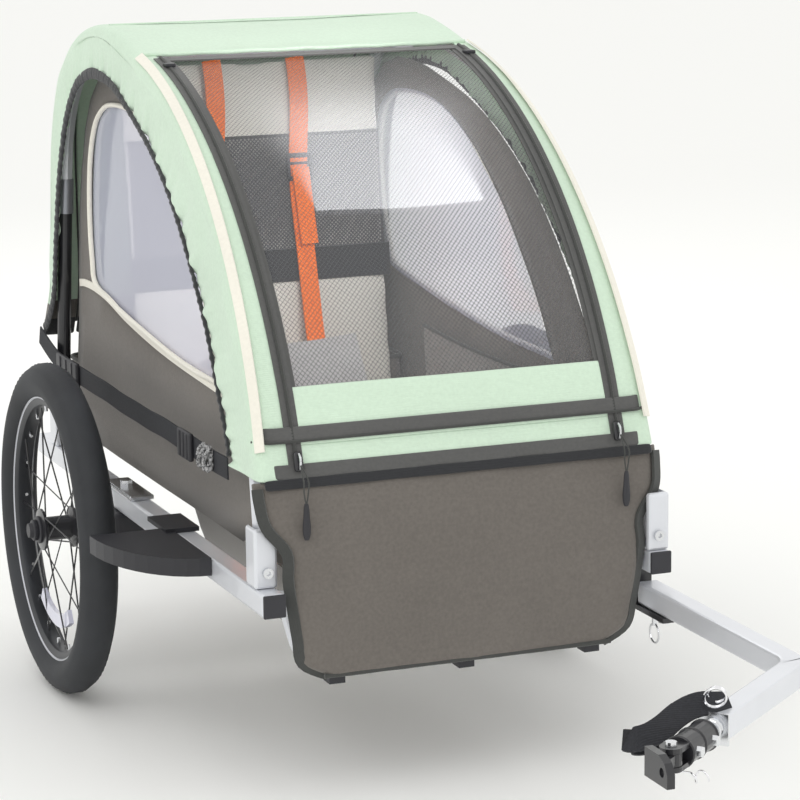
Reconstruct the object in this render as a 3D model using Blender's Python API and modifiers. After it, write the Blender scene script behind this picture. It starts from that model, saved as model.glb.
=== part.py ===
"""A folding single-seat child bicycle trailer: +X is its left side, -Y its front, +Z up, in metres.

Lengths along Y are measured from the wheel axle, and one empty shifts the whole trailer so that its box
is centred on the origin. Each moving piece hangs on an empty that stands on its joint's axis.
"""

import math

import bmesh
import bpy
from mathutils import Matrix, Vector

# Driving dimensions
WHEEL_RADIUS = 0.2
TYRE_SECTION = 0.0225
WHEEL_X = 0.3116
RAIL_OUTER_X = 0.238
RAIL_SIZE = 0.025
RAIL_TOP = 0.24
RAIL_FRONT_Y = -0.5373
RAIL_REAR_Y = 0.36
FOLD_Z = 0.258
FOLD_X = 0.224
LEAN = math.radians(2.5)
TUBE_RADIUS = 0.009
ARC_Y = 0.06
ARC_Z = 0.175
ARC_RADIUS = 0.6
HOOP_INSET = 0.0362
NEST = 0.0215
FRONT_END_Y = -1.098
REAR_END_Y = 0.36
GAP = 0.0003

AXLE_Y = -(FRONT_END_Y + REAR_END_Y) / 2
RAIL_X = RAIL_OUTER_X - RAIL_SIZE / 2
RAIL_Z = RAIL_TOP - RAIL_SIZE / 2
RAIL_INNER_X = RAIL_OUTER_X - RAIL_SIZE
RAIL_BOTTOM = RAIL_TOP - RAIL_SIZE
ZIP_X = 0.187
CLOTH = 0.003
COVER_HINGE = (-0.045, 0.7657)
CROSSBAR_Y = 0.13
CROWN_Z = 0.752
CROSSBAR_Z = FOLD_Z + (CROWN_Z - FOLD_Z) * math.cos(LEAN)
SIDES = {"right": -1, "left": 1}

for leftover in list(bpy.data.objects):
    bpy.data.objects.remove(leftover)


def new_collection(name):
    collection = bpy.data.collections.new(name)
    bpy.context.scene.collection.children.link(collection)
    return collection


TRAILER = new_collection("bicycle_trailer")
CUTTERS = new_collection("cutters")
CUTTERS.hide_render = True


def material(name, colour, roughness, metallic=0.0):
    made = bpy.data.materials.new(name)
    made.use_nodes = True
    shader = made.node_tree.nodes["Principled BSDF"]
    shader.inputs["Base Color"].default_value = (*colour, 1)
    shader.inputs["Roughness"].default_value = roughness
    shader.inputs["Metallic"].default_value = metallic
    return made


SILVER = material("silver_paint", (0.68, 0.7, 0.74), 0.35, 0.4)
BLACK_METAL = material("black_paint", (0.02, 0.02, 0.023), 0.35, 0.2)
ZINC = material("zinc_steel", (0.62, 0.63, 0.65), 0.3, 1.0)
BLACK_PLASTIC = material("black_plastic", (0.018, 0.018, 0.022), 0.5)
RUBBER = material("tyre_rubber", (0.022, 0.024, 0.027), 0.75)
MINT = material("mint_fabric", (0.6, 0.74, 0.61), 0.85)
TAUPE = material("taupe_fabric", (0.14, 0.125, 0.115), 0.9)
SEAT_GREY = material("seat_fabric", (0.42, 0.4, 0.37), 0.9)
ORANGE = material("orange_webbing", (1.0, 0.16, 0.01), 0.7)
BLACK_WEBBING = material("black_webbing", (0.015, 0.016, 0.022), 0.8)
MESH = material("window_mesh", (0.06, 0.06, 0.065), 0.6)
VINYL = material("clear_vinyl", (0.62, 0.64, 0.8), 0.12)


def empty(name, location, parent, lean=0.0):
    made = bpy.data.objects.new(name, None)
    made.empty_display_size = 0.03
    TRAILER.objects.link(made)
    made.parent = parent
    made.location = location
    made.rotation_euler = (0, lean, 0)
    return made


TRAILER_AXIS = empty("trailer", (0, AXLE_Y, 0), None)


def joint_empty(name, location, parent=None):
    """An empty on a joint's axis. Its location is from the axle, and so is its pieces' geometry."""
    parent = parent or TRAILER_AXIS
    made = empty(name, Vector(location) - Vector(parent.get("stands_at", (0, 0, 0))), parent)
    made["stands_at"] = tuple(location)
    return made


def place(obj, joint):
    """Hangs obj on a joint's empty, with its geometry left where it is given from the axle."""
    joint = joint or TRAILER_AXIS
    obj.parent = joint
    obj.matrix_parent_inverse = Matrix.Translation(-Vector(joint.get("stands_at", (0, 0, 0))))
    return obj


def add_object(name, data, paint, joint, collection=None):
    obj = bpy.data.objects.new(name, data)
    (collection or TRAILER).objects.link(obj)
    if paint:
        data.materials.append(paint)
    return place(obj, joint)


def bridge(bm, first, second):
    """Faces between two closed rings of as many vertices."""
    for k in range(len(first)):
        following = (k + 1) % len(first)
        bm.faces.new((first[k], first[following], second[following], second[k]))


def finish_mesh(bm, name):
    bmesh.ops.recalc_face_normals(bm, faces=bm.faces)
    mesh = bpy.data.meshes.new(name)
    bm.to_mesh(mesh)
    bm.free()
    return mesh


def bevel(obj, width, segments=2):
    modifier = obj.modifiers.new("Bevel", "BEVEL")
    modifier.width = width
    modifier.segments = segments
    modifier.limit_method = "ANGLE"
    return obj


def box_mesh(name, low, high):
    bm = bmesh.new()
    bmesh.ops.create_cube(bm, size=1)
    size = Vector(high) - Vector(low)
    middle = (Vector(high) + Vector(low)) / 2
    bmesh.ops.transform(bm, matrix=Matrix.Translation(middle) @ Matrix.Diagonal((*size, 1)), verts=bm.verts)
    return finish_mesh(bm, name)


def box(name, low, high, paint, joint=None, rounding=0.0, segments=2):
    """A block between two corners, given in any order."""
    corners = list(zip(low, high))
    low = [min(pair) for pair in corners]
    high = [max(pair) for pair in corners]
    obj = add_object(name, box_mesh(name, low, high), paint, joint)
    if rounding:
        bevel(obj, rounding, segments)
    return obj


def turned_matrix(start, end):
    along = Vector(end) - Vector(start)
    turn = Vector((0, 0, 1)).rotation_difference(along).to_matrix().to_4x4()
    return Matrix.Translation((Vector(start) + Vector(end)) / 2) @ turn, along.length


def sorted_corners(low, high):
    pairs = list(zip(low, high))
    return [min(pair) for pair in pairs], [max(pair) for pair in pairs]


def rod_mesh(name, start, end, radius, end_radius=None, segments=20):
    matrix, length = turned_matrix(start, end)
    bm = bmesh.new()
    bmesh.ops.create_cone(
        bm,
        cap_ends=True,
        segments=segments,
        radius1=radius,
        radius2=radius if end_radius is None else end_radius,
        depth=length,
        matrix=matrix,
    )
    return finish_mesh(bm, name)


def rod(name, start, end, radius, paint, joint=None, end_radius=None, segments=20):
    """A round bar, or a cone, between two points."""
    obj = add_object(name, rod_mesh(name, start, end, radius, end_radius, segments), paint, joint)
    smooth(obj)
    return obj


def smooth(obj):
    obj.data.shade_smooth()
    obj.data.set_sharp_from_angle(angle=math.radians(35))
    return obj


def tube(name, points, radius, paint, joint=None, sides_detail=2):
    """A round tube along a list of points, with closed ends."""
    data = bpy.data.curves.new(name, "CURVE")
    data.dimensions = "3D"
    data.bevel_depth = radius
    data.bevel_resolution = sides_detail
    data.use_fill_caps = True
    spline = data.splines.new("POLY")
    spline.points.add(len(points) - 1)
    for target, point in zip(spline.points, points):
        target.co = (*point, 1)
    return add_object(name, data, paint, joint)


def outline_data(name, loops, thickness):
    """A flat shape in X and Y with its thickness along Z. Loops after the first are holes."""
    data = bpy.data.curves.new(name, "CURVE")
    data.dimensions = "2D"
    data.fill_mode = "BOTH"
    data.extrude = thickness / 2
    for loop in loops:
        spline = data.splines.new("POLY")
        spline.points.add(len(loop) - 1)
        spline.use_cyclic_u = True
        for target, point in zip(spline.points, loop):
            target.co = (*point, 0, 1)
    return data


def plate(name, loops, thickness, matrix, paint, joint=None):
    """An extruded outline, as a mesh, moved by a matrix."""
    flat = add_object(name + "_outline", outline_data(name, loops, thickness), None, None)
    mesh = curve_mesh(flat, name)
    mesh.transform(matrix)
    if matrix.determinant() < 0:
        mesh.flip_normals()
    return add_object(name, mesh, paint, joint)


def curve_mesh(flat, name):
    """The curve's evaluated mesh with its caps welded. The curve is removed."""
    bpy.context.view_layer.update()
    mesh = bpy.data.meshes.new_from_object(flat.evaluated_get(bpy.context.evaluated_depsgraph_get()))
    mesh.name = name
    bm = bmesh.new()
    bm.from_mesh(mesh)
    bmesh.ops.remove_doubles(bm, verts=bm.verts, dist=1e-6)
    bmesh.ops.recalc_face_normals(bm, faces=bm.faces)
    bm.to_mesh(mesh)
    bm.free()
    mesh.materials.clear()
    bpy.data.objects.remove(flat)
    return mesh


def boolean(obj, mesh, operation):
    """Cuts a mesh from obj, or joins it on. The mesh becomes a hidden cutter beside it."""
    cutter = bpy.data.objects.new(mesh.name, mesh)
    CUTTERS.objects.link(cutter)
    cutter.hide_render = True
    cutter.display_type = "WIRE"
    cutter.parent = obj.parent
    cutter.matrix_parent_inverse = obj.matrix_parent_inverse
    modifier = obj.modifiers.new("Boolean", "BOOLEAN")
    modifier.operation = operation
    modifier.object = cutter
    return obj


def cut(obj, mesh):
    return boolean(obj, mesh, "DIFFERENCE")


def join(obj, mesh):
    return boolean(obj, mesh, "UNION")


def turned(name, profile, centre, paint, joint=None, steps=40, closed=True):
    """A ring or a solid of revolution about an X-parallel axis. Profile points are (radius, x)."""
    bm = bmesh.new()
    verts = [bm.verts.new((radius, 0, -offset)) for radius, offset in profile]
    for first, second in zip(verts, verts[1:]):
        bm.edges.new((first, second))
    if closed:
        bm.edges.new((verts[-1], verts[0]))
    mesh = bpy.data.meshes.new(name)
    bm.to_mesh(mesh)
    bm.free()
    obj = add_object(name, mesh, paint, joint)
    obj.matrix_parent_inverse = obj.matrix_parent_inverse @ Matrix.Translation(centre)
    obj.rotation_euler = (0, -math.pi / 2, 0)
    screw = obj.modifiers.new("Screw", "SCREW")
    screw.steps = steps
    screw.render_steps = steps
    screw.use_merge_vertices = True
    screw.merge_threshold = 0.00001
    screw.use_smooth_shade = True
    return obj


def sheet(name, rows, thickness, paint, joint=None, skip=None, offset=-1.0):
    """A cloth skin through a grid of points, thickened inwards. Skip says which cells are left open."""
    bm = bmesh.new()
    grid = [[bm.verts.new(point) for point in row] for row in rows]
    for r, (upper, lower) in enumerate(zip(grid, grid[1:])):
        for c in range(len(upper) - 1):
            if skip is None or not skip(r, c):
                bm.faces.new((upper[c], upper[c + 1], lower[c + 1], lower[c]))
    mesh = bpy.data.meshes.new(name)
    bm.to_mesh(mesh)
    bm.free()
    obj = add_object(name, mesh, paint, joint)
    solidify = obj.modifiers.new("Solidify", "SOLIDIFY")
    solidify.thickness = thickness
    solidify.offset = offset
    return obj


def arc_points(centre, radius, start, end, count):
    """Points of an arc in a plane, from one angle in degrees to another."""
    for k in range(count):
        angle = math.radians(start + (end - start) * k / (count - 1))
        yield centre[0] + radius * math.cos(angle), centre[1] + radius * math.sin(angle)


def front_arc(z_from, y_to, radius, count):
    """Points (y, z) up the curved front, from a height to a distance behind the axle."""
    start = 180 - math.degrees(math.asin((z_from - ARC_Z) / radius))
    end = math.degrees(math.acos((y_to - ARC_Y) / radius))
    return list(arc_points((ARC_Y, ARC_Z), radius, start, end, count))


# Fold joints: each hoop leans inwards by LEAN about a fore-and-aft axis above its rail
HOOP = {}
for side, sign in SIDES.items():
    HOOP[side] = empty(f"hoop_{side}_axis", (sign * FOLD_X, 0, FOLD_Z), TRAILER_AXIS, -sign * LEAN)


def half_width(z):
    """The canopy's outer half width at a height: the hoop's plane, its tube and the cloth over it."""
    return FOLD_X - (z - FOLD_Z) * math.tan(LEAN) + TUBE_RADIUS + 0.0035


def hoop_path(outset):
    """The hoop's centre line as (y, height above the fold axis): front arc, crown, rear corner, leg."""
    foot = FOLD_Z - 0.0045
    radius = ARC_RADIUS - HOOP_INSET + outset
    top = CROWN_Z + outset
    crown_y = CROSSBAR_Y
    leg_y = 0.281 + outset
    points = front_arc(foot, -0.06, radius, 14)
    end = Vector(points[-1])
    heading = Vector((end.y - ARC_Z, ARC_Y - end.x)).normalized()
    crown = Vector((crown_y, top))
    reach = (crown - end).length / 3
    handles = (end + heading * reach, crown - Vector((reach, 0)))
    for k in range(1, 6):
        t = k / 5
        spot = end * (1 - t) ** 3 + handles[0] * 3 * t * (1 - t) ** 2
        spot += handles[1] * 3 * t * t * (1 - t) + crown * t**3
        points.append(tuple(spot))
    corner = leg_y - crown_y
    points += list(arc_points((crown_y, top - corner), corner, 90, 0, 9))[1:]
    return [(y, z - FOLD_Z) for y, z in points], leg_y, foot - FOLD_Z


SLEEVE_LOW = 0.54 - FOLD_Z
SLEEVE_HIGH = 0.584 - FOLD_Z
PIVOT_BOLT = 0.003
OUTSET = {"right": 0.0, "left": NEST}
UPRIGHT_RADIUS = 0.0087


def add_hoop(side):
    """One folding side frame: silver hoop, and black rear upright with the sleeve that joins them."""
    axis = HOOP[side]
    path, leg_y, foot = hoop_path(OUTSET[side])
    path.append((leg_y, SLEEVE_HIGH + GAP))
    curve = tube(f"hoop_{side}_curve", [(0, y, h) for y, h in path], TUBE_RADIUS, None)
    mesh = curve_mesh(curve, f"hoop_{side}_tube")
    hoop = add_object(f"hoop_{side}_tube", mesh, SILVER, axis)
    smooth(hoop)
    front_y = path[0][0]
    cut(
        hoop, rod_mesh(f"hoop_{side}_hole", (0, front_y - 0.02, 0), (0, front_y + 0.02, 0), PIVOT_BOLT + GAP)
    )
    low, high = (0, leg_y, foot), (0, leg_y, SLEEVE_LOW + 0.004)
    upright = rod(f"rear_upright_{side}", low, high, UPRIGHT_RADIUS, BLACK_METAL, axis)
    low, high = (0, leg_y, SLEEVE_LOW), (0, leg_y, SLEEVE_HIGH)
    join(upright, rod_mesh(f"hoop_{side}_sleeve", low, high, 0.0092))
    cut(
        upright,
        rod_mesh(f"upright_{side}_hole", (0, leg_y - 0.02, 0), (0, leg_y + 0.02, 0), PIVOT_BOLT + GAP)
    )
    return front_y, leg_y


BRACKET_HALF = 0.0155


def add_pivot_bracket(name, sign, y, bolted):
    """The upright sleeve that a hoop's foot folds in: open inwards, with a bolt or a pin along Y."""
    outer = sign * (RAIL_OUTER_X - GAP)
    inner = sign * 0.212
    low, high = RAIL_TOP + GAP, 0.305
    half = BRACKET_HALF
    bracket = box(name, (outer, y - half, low), (inner, y + half, high), SILVER, rounding=0.003)
    outer_wall, mouth = sign * (FOLD_X + 0.0106), sign * 0.2
    front_wall = y - TUBE_RADIUS - 0.0008
    low_slot = (outer_wall, front_wall, 0.2443), (mouth, y + TUBE_RADIUS + 0.0045, high + 0.01)
    high_slot = (outer_wall, front_wall, 0.269), (mouth, y + 0.03, high + 0.02)
    cut(bracket, box_mesh(name + "_slot", *sorted_corners(*low_slot)))
    cut(bracket, box_mesh(name + "_back", *sorted_corners(*high_slot)))
    def at(along):
        return (sign * FOLD_X, y + along, FOLD_Z)

    if not bolted:
        join(bracket, rod_mesh(name + "_pin", at(-half + 0.001), at(half - 0.001), PIVOT_BOLT))
        return
    cut(bracket, rod_mesh(name + "_bore", at(-0.03), at(0.03), PIVOT_BOLT + GAP))
    face = -half - GAP
    bolt = rod(
        f"pivot_bolt_{name[-5:].strip('_')}", at(half), at(face - 0.001), PIVOT_BOLT, ZINC, segments=12
    )
    join(bolt, rod_mesh(name + "_head", at(face), at(face - 0.004), 0.0058, segments=12))
    cut(bolt, rod_mesh(name + "_hex", at(face - 0.0015), at(face - 0.006), 0.0028, segments=6))


for side, sign in SIDES.items():
    foot_y, upright_y = add_hoop(side)
    add_pivot_bracket(f"front_bracket_{side}", sign, foot_y, True)
    add_pivot_bracket(f"rear_bracket_{side}", sign, upright_y, False)


# Base frame
def add_rail(side, sign):
    inner, outer = sign * RAIL_INNER_X, sign * RAIL_OUTER_X
    box(
        f"rail_{side}", (inner, RAIL_FRONT_Y, RAIL_BOTTOM), (outer, RAIL_REAR_Y, RAIL_TOP), SILVER,
        rounding=0.003
    )
    near = RAIL_FRONT_Y - GAP
    box(
        f"rail_cap_{side}", (inner, near, RAIL_BOTTOM), (outer, near - 0.004, RAIL_TOP), BLACK_PLASTIC,
        rounding=0.0015
    )


for side, sign in SIDES.items():
    add_rail(side, sign)

CROSS_END = RAIL_INNER_X - GAP
FOOTWELL_Y = -0.509
U_TUBE = 0.009
u_bend = [
    (-CROSS_END, FOOTWELL_Y, RAIL_Z), (-0.206, FOOTWELL_Y, RAIL_Z), (-0.201, FOOTWELL_Y, RAIL_Z - 0.012)
]
u_bend += [(-0.1905, FOOTWELL_Y, 0.178), (-0.184, FOOTWELL_Y, 0.163), (-0.172, FOOTWELL_Y, 0.1545)]
u_points = u_bend + [(-x, y, z) for x, y, z in reversed(u_bend)]
tube("front_cross_tube", u_points, U_TUBE, SILVER)
rod("rear_cross_tube", (-CROSS_END, 0.345, RAIL_Z), (CROSS_END, 0.345, RAIL_Z), 0.011, SILVER)
AXLE_BLOCK_INNER = 0.206
AXLE_RADIUS = 0.006
AXLE_BLOCK_OUTER = 0.2465


def add_axle_mount(side, sign):
    """The block under the rail that takes the wheel's axle, and the saddle bolted over the rail."""
    block = box(
        f"axle_block_{side}",
        (sign * AXLE_BLOCK_INNER, -0.022, 0.178),
        (sign * AXLE_BLOCK_OUTER, 0.022, RAIL_BOTTOM - GAP),
        BLACK_PLASTIC,
        rounding=0.005,
    )
    join(
        block,
        rod_mesh(
            f"axle_collar_{side}", (sign * 0.236, 0, WHEEL_RADIUS), (sign * 0.2545, 0, WHEEL_RADIUS), 0.0125
        )
    )
    saddle = box(
        f"axle_saddle_{side}",
        (sign * 0.2405, -0.07, RAIL_TOP + GAP),
        (sign * 0.2105, 0.035, RAIL_TOP + 0.006),
        BLACK_PLASTIC,
        rounding=0.0015,
    )
    head = (sign * RAIL_X, -0.005, RAIL_TOP + 0.0055)
    join(
        saddle,
        rod_mesh(f"saddle_bolt_{side}", head, (head[0], head[1], head[2] + 0.0065), 0.0075, segments=6)
    )


for side, sign in SIDES.items():
    add_axle_mount(side, sign)


GUARD_REAR_Y = -0.218


def add_wheel_guard(side, sign):
    """The quarter-round plate ahead of the wheel, with its clip over the rail."""
    inner = RAIL_OUTER_X + 0.0006
    reach, width = 0.152, 0.0945
    quarter = arc_points((0, 0), 1.0, 0, -90, 12)
    outline = [(sign * (inner + x * width), GUARD_REAR_Y + y * reach) for x, y in quarter]
    outline.append((sign * inner, GUARD_REAR_Y))
    guard = plate(
        f"wheel_guard_{side}", [outline], 0.02, Matrix.Translation((0, 0, 0.232)), BLACK_PLASTIC
    )
    join(
        guard,
        box_mesh(
            f"guard_clip_{side}", *sorted_corners((sign * 0.25, -0.24, 0.2404), (sign * 0.21, -0.17, 0.2455))
        )
    )


for side, sign in SIDES.items():
    add_wheel_guard(side, sign)

# Wheels
HUB_HALF = 0.019
SPOKES = 20
RIM_OUTER = 0.161
RIM_INNER = 0.147
RIM_HALF = 0.011


def circle_profile(radius, middle, count):
    """A closed ring section, as (distance from the axle, offset along it), top to bottom outside."""
    return [(middle + x, -z) for x, z in arc_points((0, 0), radius, 90, -270 + 360 / count, count)]


def spoke_ends(k):
    """A spoke's flange hole and rim hole, as (radius, angle, offset): sides and leanings alternate."""
    flange = -1 if k % 2 else 1
    lean_to = -1 if k % 4 < 2 else 1
    angle = 2 * math.pi * k / SPOKES
    hub_angle = angle + lean_to * math.radians(62)
    hub = (0.021, hub_angle, flange * (HUB_HALF + 0.0011 * lean_to))
    rim = (RIM_INNER - 2 * GAP, angle, flange * (0.0035 + 0.0011 * lean_to))
    return hub, rim


def wheel_point(x, radius, angle, offset):
    return Vector((x + offset, radius * math.sin(angle), WHEEL_RADIUS + radius * math.cos(angle)))


def add_wheel(side, sign):
    x = sign * WHEEL_X
    axis = joint_empty(f"wheel_{side}_axis", (x, 0, WHEEL_RADIUS))
    turned(
        f"tyre_{side}",
        [
            (max(r, RIM_OUTER + GAP), z) for r,
            z in circle_profile(TYRE_SECTION, WHEEL_RADIUS - TYRE_SECTION, 12)
        ],
        (x, 0, WHEEL_RADIUS), RUBBER, axis, steps=44,
    )
    rim = [(RIM_OUTER, -RIM_HALF), (RIM_OUTER, RIM_HALF), (RIM_INNER + 0.004, RIM_HALF)]
    rim += [(RIM_INNER, RIM_HALF - 0.005), (RIM_INNER, 0.005 - RIM_HALF), (RIM_INNER + 0.004, -RIM_HALF)]
    turned(f"rim_{side}", rim, (x, 0, WHEEL_RADIUS), BLACK_METAL, axis, steps=44)
    hub = [(0.0066, -0.0195), (0.013, -0.0225), (0.025, -0.0205), (0.025, -0.0175), (0.0145, -0.014)]
    hub += [(0.0145, 0.014), (0.025, 0.0175), (0.025, 0.0205), (0.013, 0.0225), (0.0066, 0.0195)]
    hub_object = turned(f"hub_{side}", hub, (x, 0, WHEEL_RADIUS), BLACK_METAL, axis, steps=20)
    spokes = bmesh.new()
    for k in range(SPOKES):
        hub_end, rim_end = spoke_ends(k)
        start, end = wheel_point(x, *hub_end), wheel_point(x, *rim_end)
        matrix, length = turned_matrix(start, end)
        bmesh.ops.create_cone(
            spokes, cap_ends=True, segments=4, radius1=0.001, radius2=0.001, depth=length, matrix=matrix
        )
    join_at_origin(hub_object, finish_mesh(spokes, f"spokes_{side}"), axis)
    rod(
        f"axle_{side}", (sign * 0.2549, 0, WHEEL_RADIUS), (sign * 0.3245, 0, WHEEL_RADIUS), AXLE_RADIUS, ZINC
    )
    button_axis = joint_empty(f"axle_button_{side}_axis", (sign * 0.3395, 0, WHEEL_RADIUS), axis)
    cap_ends = (sign * 0.3395, 0, WHEEL_RADIUS), (sign * 0.3475, 0, WHEEL_RADIUS)
    button = rod(f"axle_button_{side}", *cap_ends, 0.0105, BLACK_PLASTIC, button_axis, end_radius=0.0085)
    stem_ends = (sign * 0.3295, 0, WHEEL_RADIUS), (sign * 0.341, 0, WHEEL_RADIUS)
    join(button, rod_mesh(f"button_stem_{side}", *stem_ends, AXLE_RADIUS))


def join_at_origin(obj, mesh, axis):
    """Joins a mesh given from the axle onto a turned piece, whose own frame is turned."""
    cutter = bpy.data.objects.new(mesh.name, mesh)
    CUTTERS.objects.link(cutter)
    cutter.hide_render = True
    cutter.display_type = "WIRE"
    place(cutter, axis)
    modifier = obj.modifiers.new("Boolean", "BOOLEAN")
    modifier.operation = "UNION"
    modifier.use_self = True
    modifier.object = cutter


for side, sign in SIDES.items():
    add_wheel(side, sign)

# Tow arm and hitch
ARM_X = RAIL_X - 0.001
ARM_Z = 0.1875
ARM_HALF = 0.0125
ARM_PIVOT_Y = -0.552
ARM_TURN = math.radians(50.6)
ARM_CORNER_Y = -0.8459
ARM_BEND = 0.045
ARM_END = 0.2145
ALONG = Vector((-math.sin(ARM_TURN), -math.cos(ARM_TURN), 0))
ARM_TIP = Vector((ARM_X, ARM_CORNER_Y, ARM_Z)) + ALONG * ARM_END


def arm_side(offset):
    """One edge of the bent arm in plan, that far outside its centre line."""
    tangent = ARM_BEND * math.tan(ARM_TURN / 2)
    centre = (ARM_X - ARM_BEND, ARM_CORNER_Y + tangent)
    edge = [(ARM_X + offset, ARM_PIVOT_Y + 0.044)]
    edge += list(arc_points(centre, ARM_BEND + offset, 0, -math.degrees(ARM_TURN), 9))
    out = Vector((math.cos(ARM_TURN), -math.sin(ARM_TURN), 0))
    end = ARM_TIP + out * offset
    edge.append((end.x, end.y))
    return edge


def on_arm(s, across=0.0, up=0.0):
    """A point past the arm's tip: along its last leg, across it to the outside, and up."""
    out = Vector((math.cos(ARM_TURN), -math.sin(ARM_TURN), 0))
    return ARM_TIP + ALONG * s + out * across + Vector((0, 0, up))


arm_axis = joint_empty("tow_arm_axis", (ARM_X, ARM_PIVOT_Y, ARM_Z))
arm_outline = arm_side(ARM_HALF) + arm_side(-ARM_HALF)[::-1]
tow_arm = plate("tow_arm", [arm_outline], 2 * ARM_HALF, Matrix.Translation((0, 0, ARM_Z)), SILVER, arm_axis)
bevel(tow_arm, 0.003)
cut(tow_arm, rod_mesh("arm_pivot_hole", (ARM_X, ARM_PIVOT_Y, 0.16), (ARM_X, ARM_PIVOT_Y, 0.1965), 0.0043))

BRACKET_TOP = ARM_Z - ARM_HALF - 0.0005
arm_bracket = box("arm_bracket", (0.2095, -0.577, 0.169), (0.2395, -0.44, BRACKET_TOP), BLACK_METAL)
block_low, block_high = (0.2128, -0.495, 0.17), (0.2366, -0.441, RAIL_BOTTOM - GAP)
join(arm_bracket, box_mesh("arm_bracket_block", block_low, block_high))
cut(
    arm_bracket,
    rod_mesh("bracket_pivot_hole", (ARM_X, ARM_PIVOT_Y, 0.16), (ARM_X, ARM_PIVOT_Y, 0.18), 0.0043)
)
LOCK_Y = -0.527
cut(arm_bracket, rod_mesh("lock_pin_hole", (ARM_X, LOCK_Y, 0.16), (ARM_X, LOCK_Y, 0.18), 0.0033))
arm_bolt = rod(
    "arm_pivot_bolt", (ARM_X, ARM_PIVOT_Y, 0.164), (ARM_X, ARM_PIVOT_Y, 0.196), 0.004, ZINC, segments=12
)
bolt_ends = (ARM_X, ARM_PIVOT_Y, 0.1625), (ARM_X, ARM_PIVOT_Y, 0.169 - GAP)
join(arm_bolt, rod_mesh("arm_bolt_head", *bolt_ends, 0.0075, segments=6))

RING_RADIUS = 0.011
lock_axis = joint_empty("arm_lock_pin_axis", (ARM_X, LOCK_Y, 0.16))
lock_pin = rod(
    "arm_lock_pin", (ARM_X, LOCK_Y, 0.153), (ARM_X, LOCK_Y, BRACKET_TOP - GAP), 0.003, ZINC, lock_axis,
    segments=12
)


def ring_mesh(name, centre, across, radius, wire):
    """A wire ring. Across is the direction its axis points."""
    bm = bmesh.new()
    turns, sides = 16, 6
    turn = Vector((0, 0, 1)).rotation_difference(Vector(across)).to_matrix()
    loops = []
    for k in range(turns):
        angle = 2 * math.pi * k / turns
        out = Vector((math.cos(angle), math.sin(angle), 0))
        loop = []
        for j in range(sides):
            tilt = 2 * math.pi * j / sides
            spot = out * (radius + wire * math.cos(tilt)) + Vector((0, 0, wire * math.sin(tilt)))
            loop.append(bm.verts.new(Vector(centre) + turn @ spot))
        loops.append(loop)
    for k in range(turns):
        for j in range(sides):
            following, beside = loops[(k + 1) % turns], (j + 1) % sides
            bm.faces.new((loops[k][j], following[j], following[beside], loops[k][beside]))
    return finish_mesh(bm, name)


join(
    lock_pin,
    ring_mesh("lock_ring", (ARM_X, LOCK_Y, 0.153 - RING_RADIUS + 0.002), (1, 0, 0), RING_RADIUS, 0.0012)
)

SPRING_END = 0.021
flex_axis = joint_empty("coupler_flex_axis", on_arm(0.011), arm_axis)
COILS, WIRE_STEPS = 4, 12
coil = []
for k in range(COILS * WIRE_STEPS + 1):
    turn_angle = 2 * math.pi * k / WIRE_STEPS
    run = 0.0022 + (SPRING_END - 0.0042) * k / (COILS * WIRE_STEPS)
    coil.append(on_arm(run, 0.0095 * math.cos(turn_angle), 0.0095 * math.sin(turn_angle)))
tube("coupler_spring", coil, 0.0018, ZINC, arm_axis, sides_detail=0)

COUPLER_START, COUPLER_END = 0.022, 0.083
HITCH_AT = 0.1
coupler = rod("coupler", on_arm(COUPLER_START), on_arm(COUPLER_END), 0.015, BLACK_METAL, flex_axis)


def slab_along(name, s_from, s_to, half_width_here, up_from, up_to):
    """A block that lies along the arm's last leg."""
    bm = bmesh.new()
    bmesh.ops.create_cube(bm, size=1)
    size = Matrix.Diagonal((2 * half_width_here, s_to - s_from, up_to - up_from, 1))
    turn = Matrix.Rotation(-ARM_TURN, 4, "Z")
    place_at = Matrix.Translation(on_arm((s_from + s_to) / 2, 0, (up_from + up_to) / 2))
    bmesh.ops.transform(bm, matrix=place_at @ turn @ size, verts=bm.verts)
    return finish_mesh(bm, name)


FORK_GAP, FORK_OUT = 0.0065, 0.0115
for name, up_from, up_to in (("upper", FORK_GAP, FORK_OUT), ("lower", -FORK_OUT, -FORK_GAP)):
    join(coupler, slab_along(f"fork_{name}", COUPLER_END - 0.004, HITCH_AT, 0.011, up_from, up_to))
    join(
        coupler,
        rod_mesh(f"fork_end_{name}", on_arm(HITCH_AT, 0, up_from), on_arm(HITCH_AT, 0, up_to), 0.0112)
    )
cut(coupler, rod_mesh("fork_hole", on_arm(HITCH_AT, 0, -0.02), on_arm(HITCH_AT, 0, 0.02), 0.0033))

hitch_axis = joint_empty("hitch_axis", on_arm(HITCH_AT), flex_axis)
LUG_HALF = FORK_GAP - 0.0005
hitch = rod(
    "hitch_plate", on_arm(HITCH_AT, 0, -LUG_HALF), on_arm(HITCH_AT, 0, LUG_HALF), 0.0105, BLACK_METAL,
    hitch_axis
)
join(
    hitch,
    slab_along("hitch_neck", HITCH_AT, HITCH_AT + 0.026, 0.0075, -LUG_HALF + 0.0007, LUG_HALF - 0.0007)
)
PLATE_X, PLATE_HALF = -0.045, 0.004
plate_outline = [
    (-1.052, 0.177), (-1.052, 0.205), (-1.08, 0.205), (-1.092, 0.2), (-1.098, 0.19), (-1.098, 0.177)
]
STAND = Matrix(((0, 0, 1, PLATE_X), (1, 0, 0, 0), (0, 1, 0, 0), (0, 0, 0, 1)))
hole_edge = list(arc_points((-1.087, 0.19), 0.0046, 0, 345, 24))
hitch_face = add_object(
    "hitch_face_outline", outline_data("hitch_face", [plate_outline, hole_edge], 2 * PLATE_HALF), None, None
)
hitch_face_mesh = curve_mesh(hitch_face, "hitch_face")
hitch_face_mesh.transform(STAND)
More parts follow.
